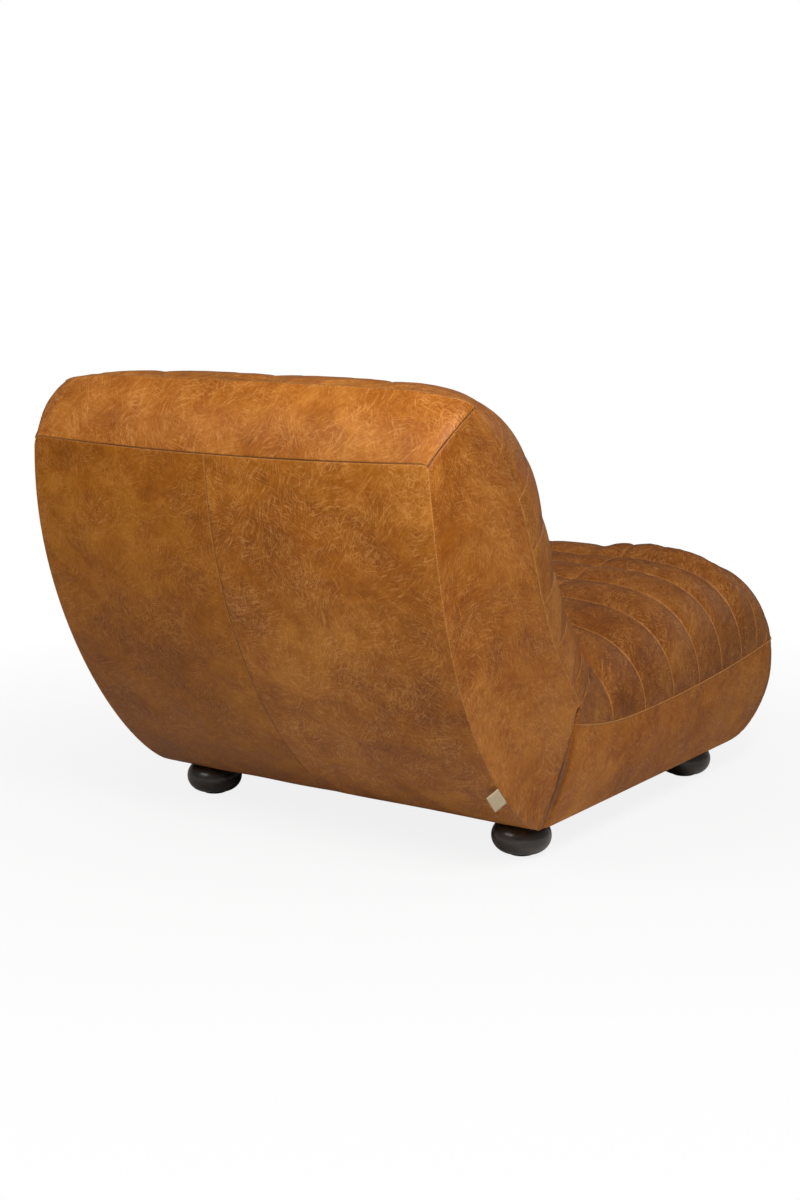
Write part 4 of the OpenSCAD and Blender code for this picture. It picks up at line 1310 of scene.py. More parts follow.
def seat_piece(obj: bpy.types.Object, material: bpy.types.Material, slot: str,
               *nodes: str) -> bpy.types.Object:
    """Dresses a new piece, fixes it to the chair and hides the construction nodes that it stands for.

    Args:
        obj: The piece.
        material: Its finish.
        slot: Name of a material slot; not used.
        nodes: Construction nodes that it stands for.

    Returns:
        The piece.
    """
    dress(obj, material)
    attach(obj, BODY)
    if nodes:
        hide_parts(*nodes)
    LOG.info("%s: %d faces, for %s", obj.name, len(obj.data.polygons), ", ".join(nodes) or "itself")
    return obj


@dataclass
class BackUnit:
    """The reclined back: outer panels, gussets and the quilted front cover.

    The curves slant, crest and inward give, by place along the side seam, the crown's lean in degrees,
    its share of the full rise, and the direction towards the filling in degrees.
    """

    lines: ChairLines = LINES
    crown: float = 0.150
    puff: float = 0.009
    column: float = 0.205
    joint_share: float = 0.25
    rows: int = 7
    seam_low_x: float = 0.010
    seam_top_x: float = 0.025
    corner: float = 0.013
    top_swell: float = 0.013
    panel_swell: float = 0.0035
    panel_uneven: float = 0.0008
    gusset_uneven: float = 0.0009
    side_depth: float = 0.30
    top_depth: float = 0.13
    leather: float = 0.0024
    gusset: float = 0.003
    quilt: float = 0.014
    relief: float = 0.75
    slant: Curve = ((0, 0.08, 0.3, 0.54, 0.69, 0.85, 1), (147, 150, 152, 150, 143, 117, 40))
    crest: Curve = ((0, 0.08, 0.3, 0.69, 0.85, 1), (0.9, 0.98, 1, 0.97, 0.58, 0.25))
    inward: Curve = ((0, 0.08, 0.54, 0.69, 0.85, 1), (194, 152, 150, 141, 105, 72))
    quilting: QuiltRows = field(init=False)

    def __post_init__(self) -> None:
        """Lays out the quilting rows."""
        self.quilting = self.make_rows()

    def row_share(self, k: Values) -> Values:
        """Returns the place of row k along the side seam."""
        return np.where(np.asarray(k) >= self.rows, 0, 1 - np.asarray(k)/(self.rows - 0.5))

    def make_rows(self) -> QuiltRows:
        """Lays out the rows of the quilted cover, the last one turned under at the joint.

        Returns:
            The rows, from the top gusset down.
        """
        lines = self.lines
        k = np.arange(self.rows + 1)
        s = self.row_share(k)
        slant = np.radians(np.interp(s, *self.slant))
        share = np.interp(s, *self.crest)
        inward = np.radians(np.interp(s, *self.inward))
        deep = np.where(k >= self.rows, 1.35, 1.0)
        side = lines.seam_at(s)
        crest = side + self.crown*share[:, None]*np.stack([np.cos(slant), np.sin(slant)], -1)
        into = -deep[:, None]*np.stack([np.cos(inward), np.sin(inward)], -1)
        half = lines.side_w(mix(self.joint_share, 1, s))
        table = np.column_stack([side, crest, into, np.where(k < 2, 6, 5), half, 0*s])
        end_y, end_z = lines.joint_y(lines.joint_top_z) + 0.0004, lines.joint_top_z + 0.0004
        end = [end_y, end_z, end_y, end_z, 0.555, 0.83, 5, lines.side_w(self.joint_share), 0.4]
        columns = [0.0, self.column/float(lines.side_w(0.8))]
        puffs = self.puff*np.minimum(1, 0.35 + 0.25*k)
        puffs[-1] = 0
        return QuiltRows(np.vstack([table, end]), list(puffs), columns, self.rows)

    def profile(self) -> tuple[np.ndarray, np.ndarray]:
        """Draws the outer panel's profile with its turned-under foot.

        Returns:
            The points (y, z), and their lengths from the foot.
        """
        angles = QUARTER*np.linspace(0, 1, 400)**1.5
        flap = np.array([[self.lines.joint_y0, self.lines.low_z]])
        points = np.concatenate([flap, self.lines.rear(angles)])
        return points, lengths_along(points, 0)

    def on_profile(self, run: Values) -> np.ndarray:
        """Returns the profile's points (y, z) at lengths from its foot."""
        points, lengths = self.profile()
        return np.stack([np.interp(run, lengths, points[:, 0]), np.interp(run, lengths, points[:, 1])], -1)

    def run_at(self, z: Values) -> Values:
        """Returns the length from the profile's foot to height z."""
        points, lengths = self.profile()
        return np.interp(z, points[1:, 1], lengths[1:])

    def outer_panel(self, side: int) -> LeatherPanel:
        """Cuts one half of the outer back, from the middle seam to the gusset.

        Args:
            side: 1 for the sitter's left, -1 for the right.

        Returns:
            The panel.
        """
        lines = self.lines
        height = float(self.run_at(lines.panel_top_z))
        us, u_seams = straight(abs(side*lines.panel_half - self.seam_top_x))
        vs, v_seams = straight(height)
        u, v = us[None, :], vs[:, None]
        rise = self.on_profile(v*height)[..., 1]
        middle = mix(self.seam_low_x, self.seam_top_x, (rise - lines.low_z)/lines.back_rise)
        edge = side*lines.panel_edge(rise)
        x = mix(middle, edge, u)
        top = self.run_at(lines.panel_top(x))
        run = v*top
        gap_x, gap_v = np.abs(edge - x), top - run
        qx, qy = np.clip(1 - gap_x/self.corner, 0, 1), np.clip(1 - gap_v/self.corner, 0, 1)
        both = (qx > 0) & (qy > 0)
        new_x = self.corner*(1 - qx*np.sqrt(1 - qy**2/2))
        new_v = self.corner*(1 - qy*np.sqrt(1 - qx**2/2))
        x = np.where(both, edge - side*new_x, x)
        run = np.where(both, top - new_v, run)
        points = np.concatenate([x[..., None], self.on_profile(run)], -1)
        points, us = points[:, ::-side], us[::-side]
        swell = self.panel_swell*(np.sin(math.pi*us)[None, :]**0.6)*(np.sin(math.pi*vs)[:, None]**0.6)
        swell = swell + self.panel_uneven*ripple(points, 0.16, 5 + side)*np.sin(math.pi*us)[None, :]
        cols = {turned(i, len(us), side): SeamKind.FINE for i in u_seams}
        return LeatherPanel(f"outer_panel_{SIDES[side]}", pushed_out(points, swell),
                            {i: SeamKind.PLAIN for i in v_seams}, cols, self.leather, 40 + side,
                            pucker=0.00025)

    def outline(self, run: np.ndarray) -> tuple[np.ndarray, np.ndarray]:
        """Follows the outer panel's edge up to its mitre.

        Args:
            run: Lengths along the edge, from the foot.

        Returns:
            Half the panel's width and the length along its profile, for each.
        """
        top = float(self.run_at(self.lines.panel_top_z))
        turn = np.clip((run - (top - self.corner))/self.corner, 0, math.pi/4)
        place = np.where(turn > 0, top - self.corner + self.corner*np.sin(turn), run)
        return self.lines.panel_edge(self.on_profile(place)[..., 1]) - self.corner*(1 - np.cos(turn)), place

    def side_gusset(self, side: int) -> LeatherPanel:
        """Cuts the gusset between outer panel and quilted cover on one side.

        Args:
            side: 1 for the sitter's left, -1 for the right.

        Returns:
            The panel.
        """
        lines = self.lines
        share = self.joint_share
        edge_top = float(self.run_at(lines.panel_top_z)) + self.corner*(math.pi/4 - 1)
        low = np.array([lines.joint_y0, lines.low_z])
        s_rows = self.row_share(np.arange(self.rows + 1))[::-1]

        def front(t: np.ndarray) -> np.ndarray:
            """Follows the front edge, up the joint and along the side seam.

            Args:
                t: Shares of the edge, rising from the foot.

            Returns:
                The points as y and z.
            """
            s = np.clip((t - share)/(1 - share), 0, 1)
            k = np.interp(s, s_rows, np.arange(self.rows, -1, -1))
            seam = self.quilting.at(k)[:, :2]
            end = self.quilting.table[self.rows, :2]
            z = mix(low[1], end[1], np.clip(t/share, 0, 1))
            away = (end[0] - lines.joint_y(end[1]))*ease(z, end[1] - 0.045, end[1])
            foot = np.stack([lines.joint_y(z) + np.maximum(away, 0.0003), z], -1)
            return np.where((t < share)[:, None], foot, seam)

        dense = np.linspace(0, 1, 300)
        ts, t_seams = stations(dense, front(dense), [0, share, 1], STEP, NEAR_PLAIN)
        js, j_seams = straight(self.side_depth)
        rear_x, rear_run = self.outline(ts*edge_top)
        rear = self.on_profile(rear_run)
        fore = front(ts)
        fore_x = lines.side_w(ts)
        j = js[None, :, None]
        flat = mix(rear[:, None], fore[:, None], j)
        x = mix(rear_x[:, None], fore_x[:, None], js[None, :])
        body = (1 - ts**8)*(1 - (1 - ts)**8)
        x = x + lines.side_swell*np.sin(math.pi*js)[None, :]**0.8*body[:, None]
        points = np.concatenate([x[..., None], flat], -1)
        points += (ts**8)[:, None, None]*lines.mitre_push(js)[None]
        points[..., 0] *= side
        points = points[:, ::-side]
        wave = self.gusset_uneven*ripple(points, 0.10, 15 + side)*np.sin(math.pi*js[::-side])[None, :]
        points = pushed_out(points, wave)
        cols = {turned(i, len(js), side): SeamKind.EDGE for i in j_seams}
        rows = {t_seams[0]: SeamKind.PLAIN, t_seams[-1]: SeamKind.PLAIN}
        panel = LeatherPanel(f"side_gusset_{SIDES[side]}", points, rows, cols, self.gusset, 60 + side)
        panel.tuck(turned(j_seams[-1], len(js), side), ts < share, SeamKind.JOINT)
        return panel

    def top_gusset(self) -> LeatherPanel:
        """Cuts the gusset along the top, from the outer panels to the first cross seam.

        Returns:
            The panel.
        """
        lines = self.lines
        mitre_x, mitre_run = self.outline(np.array(
            [float(self.run_at(lines.panel_top_z)) + self.corner*(math.pi/4 - 1)]))
        mitre = self.on_profile(mitre_run)[0]

        def edges(u: np.ndarray) -> tuple[np.ndarray, np.ndarray]:
            """Follows the rear and the front edge.

            Args:
                u: Places across, from -1 to 1.

            Returns:
                The points of the rear edge and those of the front edge.
            """
            x = float(mitre_x[0])*u
            corner_x = lines.panel_edge(lines.panel_top_z) - self.corner
            near = np.clip((np.abs(x) - corner_x)/self.corner, 0, 1)
            z = lines.panel_top(x) - self.corner*(1 - np.sqrt(1 - near**2))
            z = np.where(np.abs(u) >= 1, mitre[1], z)
            y = self.on_profile(self.run_at(z))[:, 0]
            rear = np.stack([x, y, z], -1)
            return rear, self.quilting.skin(np.array([0.0]), u[None, :])[0]

        dense = np.linspace(-1, 1, 600)
        us, u_seams = stations(dense, edges(dense)[1], [-1, 1], STEP, NEAR_PLAIN)
        js, j_seams = straight(self.top_depth, 0.8*STEP)
        rear, fore = edges(us)
        j = js[:, None, None]
        points = mix(rear[None], fore[None], j)
        run = fore - rear
        out = np.stack([0*run[:, 0], run[:, 2], -run[:, 1]], -1)
        out /= np.linalg.norm(out, axis=1)[:, None]
        near = np.abs(us)**6
        swell = self.top_swell*np.sin(math.pi*js)[:, None]*(1 - near)[None]
        wave = self.gusset_uneven*ripple(points, 0.12, 31)*np.sin(math.pi*js)[:, None]*(1 - near)[None]
        swell = swell + wave
        points = points + swell[..., None]*out[None]
        mirror = np.stack([np.sign(us), 1 + 0*us, 1 + 0*us], -1)
        points += near[None, :, None]*lines.mitre_push(js)[:, None]*mirror[None]
        points = points[:, ::-1]
        last = len(us) - 1
        return LeatherPanel("top_gusset", points, {i: SeamKind.PLAIN for i in j_seams},
                            {last - i: SeamKind.PLAIN for i in u_seams}, self.gusset, 71,
                            pucker=0.0004)

    def quilted_cover(self) -> LeatherPanel:
        """Cuts the quilted front, from the top gusset over the crest down to the joint.

        Returns:
            The panel.
        """
        rows = self.quilting
        grid = QuiltGrid(rows.puffed, rows, self.rows + 1, 0.5, 900)
        ks, k_seams = stations(*grid.along, STEP, NEAR_QUILT)
        us, u_seams = stations(*grid.across, STEP, NEAR_QUILT)
        points = rows.puffed(ks, us[None, :]) + self.relief*grid.relief(ks, us)
        inner = rows.skin(ks, us[None, :], self.quilt)
        kinds = {i: SeamKind.QUILTED for i in k_seams}
        kinds[k_seams[0]] = SeamKind.PLAIN
        return LeatherPanel("quilted_back_cover", points[:, ::-1], kinds, grid.sewn_across(us, u_seams),
                            self.quilt, 83, inner[:, ::-1], 0.0009, side_flatness(us)[::-1])

    def build(self, finishes: Finishes) -> None:
        """Builds and dresses the back's covers and their stitching.

        Args:
            finishes: Every finish by its short name.
        """
        seams = Stitching("back_seam_stitching", radius=0.0005)
        thread = Stitching("back_stitching")
        for side, word in SIDES.items():
            panel = self.outer_panel(side)
            piece = seat_piece(panel.build(), finishes[f"outer_{word}"], "leather", f"back_outer_{word}")
            seams.follow(panel, 1, sorted(panel.seam_cols))
            seams.follow(panel, 0, [max(panel.seam_rows)])
            gusset = self.side_gusset(side)
            piece = seat_piece(gusset.build(), finishes["gusset"], "leather", f"back_gusset_{word}")
            seams.follow(gusset, 0, [max(gusset.seam_rows)])
        top = self.top_gusset()
        seat_piece(top.build(), finishes["gusset"], "leather", "back_gusset_top")
        cover = self.quilted_cover()
        piece = seat_piece(cover.build(), finishes["quilt"], "leather", "back_quilt")
        thread.follow(cover, 0, sorted(cover.seam_rows)[:-1])
        thread.follow(cover, 1, cover.seam_cols)
        seat_piece(thread.build(), finishes["thread"], "leather")
        seat_piece(seams.build(), finishes["dark_thread"], "leather")


@dataclass
class SeatUnit:
    """The deep seat: side and front borders and the quilted cover.

    The slit is the pinched fold beside the back, placed along and across the cover, and the dimples
    lie where the cross seams meet the lengthwise ones.
    """

    lines: ChairLines = LINES
    back: BackUnit = field(default_factory=BackUnit)
    rows: int = 6
    fade: float = 0.0057
    rear_h: float = 0.235
    front_h: float = 0.300
    nose_l: float = 0.092
    seam_bow: float = 0.018
    column: float = 0.122
    puff: float = 0.009
    border: float = 0.003
    border_h: float = 0.15
    border_l: float = 0.75
    side_uneven: float = 0.0012
    front_uneven: float = 0.0010
    quilt: float = 0.014
    nose_seam: float = math.radians(120)
    lobe_from: float = 0.955
    lobe_bulge: float = 0.007
    dish: float = 0.012
    front_dish: float = 0.005
    slit: tuple[float, float] = (0.30, 0.915)
    slit_row: float = 0.15
    slit_w: float = 0.0070
    slit_depth: float = 0.009
    fan_step: float = 0.006
    dimple: float = 0.0035
    dimple_w: float = 0.016
    row_l: float = 0.09
    channel_rise: tuple[float, ...] = (0, 0.9, 0.9, 0.9, 0.9, 0.9, 2.2, 1.6, 0.33)
    notch: float = 0.28
    relief: float = 0.5
    quilting: QuiltRows = field(init=False)

    def __post_init__(self) -> None:
        """Lays out the quilting rows."""
        self.quilting = self.make_rows()

    @property
    def half(self) -> float:
        """Half the seat's width at the border seam."""
        return self.lines.half_w + 0.002

    def make_rows(self) -> QuiltRows:
        """Lays out the rows of the seat cover, from under the back to the front border.

        Returns:
            The rows.
        """
        lines = self.lines
        crest_end = self.back.quilting.table[self.back.rows, 2:4]
        first_y, last_y = crest_end[0] + 0.002, lines.front_y + self.nose_l
        k = np.arange(self.rows + 1)
        f = k/self.rows + self.fade*k*(self.rows - k)
        y = mix(first_y, last_y, f)
        ys = y + self.seam_bow*f**8
        crest_z = lines.low_z + mix(self.rear_h, self.front_h, np.sin(np.radians(99)*f)**1.25)
        into = np.tile([0.0, -1.0], (len(k), 1))
        into[0], into[-1] = (-0.31, -1), (0.3, -0.95)
        square = np.where(k == self.rows, 6, 5)
        main = np.column_stack([ys, lines.border_z(ys), y, crest_z, into, square,
                                self.half + 0*y, 0*y])
        rear_side = lines.joint_pt(-0.001, lines.low_z + lines.border_rear)
        rear_crest = lines.joint_pt(-0.001, lines.joint_top_z - 0.0035)
        rear = [*rear_side, *rear_crest, -0.56, -0.83, 5, self.half, 0]
        roll, edge = lines.nose(self.nose_seam), lines.nose(lines.nose_top)
        corner_y = edge[0] + lines.corner_l
        seam = [corner_y + 0.012, float(lines.border_z(corner_y + 0.012)), *roll, 0.85, -0.53, 9,
                self.half, 0]
        front = [corner_y, lines.low_z + lines.border_corner, *edge, 1, 0, 12, self.half, 0]
        puffs = self.puff*np.array(self.channel_rise)
        columns = [self.column/self.half]
        return QuiltRows(np.vstack([rear, main, seam, front]), list(puffs), columns, self.rows + 3,
                         self.notch)

    def sunk(self, k: np.ndarray, u: np.ndarray) -> np.ndarray:
        """Finds how far the middle of the seat lies lower than its sides, in front.

        Args:
            k: Places along the cover.
            u: Places across it, from -1 to 1.

        Returns:
            The drop, rows by columns.
        """
        middle = ease(1 - np.abs(u)*self.half/self.column, 0, 0.6)
        along = self.dish*bump_at(k - 6.4, 0.75) + self.front_dish*bump_at(k - 7.8, 0.8)
        return along[:, None]*middle

    def slit_share(self, ks: np.ndarray, us: np.ndarray) -> np.ndarray:
        """Finds where the pinched slit beside the back lies.

        Args:
            ks: Places along the cover.
            us: Places across it, from -1 to 1.

        Returns:
            The slit's share of its depth, rows by columns.
        """
        row, place = self.slit
        across = (np.abs(us) - place)*self.half
        return bump_at(ks - row, self.slit_row)[:, None]*bump_at(across, self.slit_w)[None, :]

    def surface(self, k: np.ndarray, u: np.ndarray) -> np.ndarray:
        """Finds points of the seat cover, with the lobe that swells against the back at each side.

        Args:
            k: Places along the cover, whole numbers at the seams.
            u: Places across it, from -1 to 1.

        Returns:
            The points, rows by columns by 3.
        """
        points = self.quilting.puffed(k, u)
        points[..., 2] -= self.sunk(k, u)
        rear = k < 1
        if not rear.any():
            return self.meet_border(points, k, u)
        side = np.abs(u[0])
        inside = np.clip(side/self.lobe_from, 0, 1)
        last_row = np.array([float(self.back.rows)])
        line = self.back.quilting.skin(last_row, (np.sign(u[0])*inside)[None, :])[0]
        foot = np.array([self.half, *self.quilting.table[0, :2]])
        down = np.clip((side - self.lobe_from)/(1 - self.lobe_from), 0, 1)[:, None]
        corner = np.stack([np.sign(u[0])*foot[0], 0*side + foot[1], 0*side + foot[2]], -1)
        line = mix(line, corner, down)
        first = self.quilting.puffed(np.array([1.0]), u)[0]
        f = k[rear][:, None, None]
        strip = mix(line[None], first[None], f)
        out = np.stack([np.sign(u[0])*(0.25 + 0.3*down[:, 0]), 0*side - 0.2, 1 - 0.7*down[:, 0]], -1)
        part = ease(side, 0.6, 0.9)*(1 - 0.9*ease(side, 0.96, 1))
        rise = self.lobe_bulge*np.sin(math.pi*f)**0.8*part[None, :, None]
        points[rear] = strip + rise*out[None]
        return self.meet_border(points, k, u)

    def meet_border(self, points: np.ndarray, k: np.ndarray, u: np.ndarray) -> np.ndarray:
        """Draws the cover's side edges onto the border's upper edge.

        Args:
            points: The cover's points.
            k: Places along the cover.
            u: Places across it, from -1 to 1.

        Returns:
            The same points, moved.
        """
        edge = self.quilting.skin(k, np.array([[1.0]]))[:, 0]
        edge[k < 1, 1:] = mix(self.quilting.table[0, :2], self.quilting.table[1, :2], k[k < 1][:, None])
        gap = np.where(k <= self.rows + 1, self.lines.border_z(edge[:, 1]) - edge[:, 2], 0)
        points[..., 2] += gap[:, None]*ease(np.abs(u), 0.9, 1)
        return points

    def quilted_cover(self) -> LeatherPanel:
        """Cuts the quilted seat cover.

        Returns:
            The panel.
        """
        rows = self.quilting
        grid = QuiltGrid(self.surface, rows, self.rows + 3, 0.6, 1000)
        ks, k_seams = stations(*grid.along, STEP, NEAR_QUILT)
        us, _ = stations(*grid.across, STEP, NEAR_QUILT)
        fan = self.slit[1] + self.fan_step*np.arange(-7, 8)
        us = refined(us, np.concatenate([fan, -fan]), 0.002)
        _, _, marks = grid.across
        u_seams = [int(np.argmin(np.abs(us - mark))) for mark in marks]
        points = self.surface(ks, us[None, :]) + self.relief*grid.relief(ks, us)
        for sign in (-1, 1):
            for k in range(1, self.rows + 1):
                across = (us[None, :] - sign*rows.columns[0])*self.half
                gap = np.hypot((ks[:, None] - k)*self.row_l, across)
                points[..., 2] -= self.dimple*bump_at(gap, self.dimple_w)
        inner = rows.skin(ks, us[None, :], self.quilt)
        inner[..., 2] -= self.sunk(ks, us[None, :])
        points, inner = points[:, ::-1], inner[:, ::-1]
        slit = self.slit_share(ks, us[::-1])
        points = pushed_out(points, -self.slit_depth*slit)
        kinds = {i: SeamKind.QUILTED for i in k_seams}
        kinds[k_seams[0]] = SeamKind.SOFT
        kinds[k_seams[-1]] = SeamKind.PLAIN
        panel = LeatherPanel("quilted_seat_cover", points, kinds, grid.sewn_across(us, u_seams),
                             self.quilt, 91, inner, 0.0007, 0.8*side_flatness(us)[::-1])
        # Painted shade down in the pinched slit.
        panel.painted_fold_shade = np.maximum(panel.painted_fold_shade, slit)
        return panel

    def border_height(self, a: np.ndarray) -> np.ndarray:
        """Turns angles of the front into shares of the border's height.

        Args:
            a: Angles from the underside upwards.

        Returns:
            The shares, from 0 at the underside to 1 at the border's seam.
        """
        z = self.lines.nose(a)[..., 1]
        top = self.lines.nose(self.lines.nose_top)[1]
        return (z - self.lines.low_z)/(top - self.lines.low_z)

    def side_border(self, side: int) -> LeatherPanel:
        """Cuts the smooth border along one side of the seat.

        Args:
            side: 1 for the sitter's left, -1 for the right.

        Returns:
            The panel.
        """
        lines = self.lines
        angles = np.linspace(0, lines.nose_top, 200)
        heights = self.border_height(angles)
        vs, v_seams = straight(self.border_h, 0.8*STEP)
        fs, f_seams = straight(self.border_l)
        a = np.interp(vs, heights, angles)
        seam_rear = lines.joint_y(lines.low_z + lines.border_rear)
        seam_front = float(lines.nose(lines.nose_top)[0]) + lines.corner_l
        seam_y = mix(seam_rear, seam_front, fs)
        z = mix(lines.low_z, lines.border_z(seam_y)[None, :] + 0.0006, vs[:, None])
        rear_y = lines.joint_y(z) - 0.0003
        front_y = (lines.nose(a)[:, 0] + lines.corner_at(a))[:, None]
        y = mix(rear_y, front_y, fs[None, :])
        x = side*(lines.border_x(vs)[:, None] + 0*y)
        points = np.stack([x, y, z], -1)
        points = points[:, ::-side]
        wave = self.side_uneven*ripple(points, 0.15, 25 + side)*np.sin(math.pi*vs)[:, None]
        points = pushed_out(points, wave)
        panel = LeatherPanel(f"seat_side_border_{SIDES[side]}", points, {v_seams[-1]: SeamKind.EDGE},
                             {turned(f_seams[-1], len(fs), side): SeamKind.FINE},
                             self.border, 100 + side)
        panel.raise_lip(v_seams[-1])
        step_out = lines.border_x(vs) - lines.side_w(
            self.back.joint_share*vs*lines.border_rear/lines.joint_rise)
        rolled = 1 + step_out/SeamKind.BUTT.value.depth
        panel.tuck(turned(f_seams[0], len(fs), side), rolled, SeamKind.BUTT)
        return panel

    def front_border(self) -> LeatherPanel:
        """Cuts the border that wraps the front and its corners.

        Returns:
            The panel.
        """
        lines = self.lines

        def surface(a: np.ndarray, u: np.ndarray) -> np.ndarray:
            """Finds points of the border.

            Args:
                a: Angles of the front, from the underside upwards.
                u: Places across, from -1 to 1.

            Returns:
                The points, rows by columns by 3.
            """
            s = self.border_height(a)[:, None]
            g = QuiltRows.crown(u, 12)
            nose = lines.nose(a)
            top = lines.nose(lines.nose_top)[1] - lines.low_z
            y = nose[:, :1] + lines.corner_at(a)[:, None]*(1 - g)
            z = lines.low_z + s*mix(lines.border_corner, top, g)
            return np.stack([lines.border_x(s)*u, y, z], -1)

        dense_a = np.linspace(0, lines.nose_top, 300)
        dense_u = np.linspace(-1, 1, 1200)
        line_a = surface(dense_a, np.array([[0.3]]))[:, 0]
        line_u = surface(np.array([QUARTER]), dense_u[None, :])[0]
        angles, a_seams = stations(dense_a, line_a, [0, lines.nose_top], STEP, NEAR_PLAIN)
        us, u_seams = stations(dense_u, line_u, [-1, 1], STEP, NEAR_PLAIN)
        points = surface(angles, us[None, :])
        wave = self.front_uneven*ripple(points, 0.15, 28)*np.sin(math.pi*angles/lines.nose_top)[:, None]
        panel = LeatherPanel("seat_front_border", pushed_out(points, wave), {a_seams[-1]: SeamKind.EDGE},
                             {i: SeamKind.FINE for i in u_seams}, self.border, 111)
        panel.raise_lip(a_seams[-1])
        return panel

    def build(self, finishes: Finishes) -> None:
        """Builds and dresses the seat's covers and their stitching.

        Args:
            finishes: Every finish by its short name.
        """
        thread = Stitching("seat_stitching")
        for side, word in SIDES.items():
            border = self.side_border(side)
            piece = seat_piece(border.build(), finishes["border"], "leather", f"seat_border_{word}")
        front = self.front_border()
        seat_piece(front.build(), finishes["border"], "leather", "seat_border_front")
        thread.follow(front, 1, front.seam_cols)
        cover = self.quilted_cover()
        seat_piece(cover.build(), finishes["seat_quilt"], "leather", "seat_quilt")
        thread.follow(cover, 0, sorted(cover.seam_rows)[1:])
        thread.follow(cover, 1, cover.seam_cols)
        seat_piece(thread.build(), finishes["thread"], "leather")


@dataclass
class Padding:
    """Foam and wadding under the covers, softened from their construction blocks."""

    voxel: float = 0.008

    def soften(self, node: str, name: str) -> bpy.types.Object:
        """Makes a rounded copy of a block.

        Args:
            node: The construction node.
            name: The new piece's name.

        Returns:
            The copy.
        """
        obj = put_in_scene(name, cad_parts[node].data.copy())
        low, high = (np.array(c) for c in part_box(node))
        thin_side = float(np.min(high - low))
        remesh = obj.modifiers.new("voxels", "REMESH")
        remesh.mode = "VOXEL"
        remesh.voxel_size = max(0.002, min(self.voxel, thin_side/3))
        ease_off = obj.modifiers.new("ease", "SMOOTH")
        ease_off.factor, ease_off.iterations = 0.5, 5
        graph = bpy.context.evaluated_depsgraph_get()
        mesh = bpy.data.meshes.new_from_object(obj.evaluated_get(graph))
        obj.modifiers.clear()
        old = obj.data
        obj.data = mesh
        bpy.data.meshes.remove(old)
        mesh.polygons.foreach_set("use_smooth", [True]*len(mesh.polygons))
        return obj

    def build(self, finishes: Finishes) -> None:
        """Builds and dresses every pad.

        Args:
            finishes: Every finish by its short name.
        """
        pads = {"back_foam": 0.9, "seat_foam": 0.9, "back_top_pad": 0.8, "seat_front_pad": 0.8,
                "back_side_pad_left": 0.8, "back_side_pad_right": 0.8,
                "seat_side_pad_left": 0.8, "seat_side_pad_right": 0.8}
        for node, fill in pads.items():
            piece = seat_piece(self.soften(node, f"{node}_core"), finishes["foam"], "foam", node)
        piece = seat_piece(self.soften("back_wadding", "back_wadding_layer"), finishes["wadding"],
                           "wadding", "back_wadding")


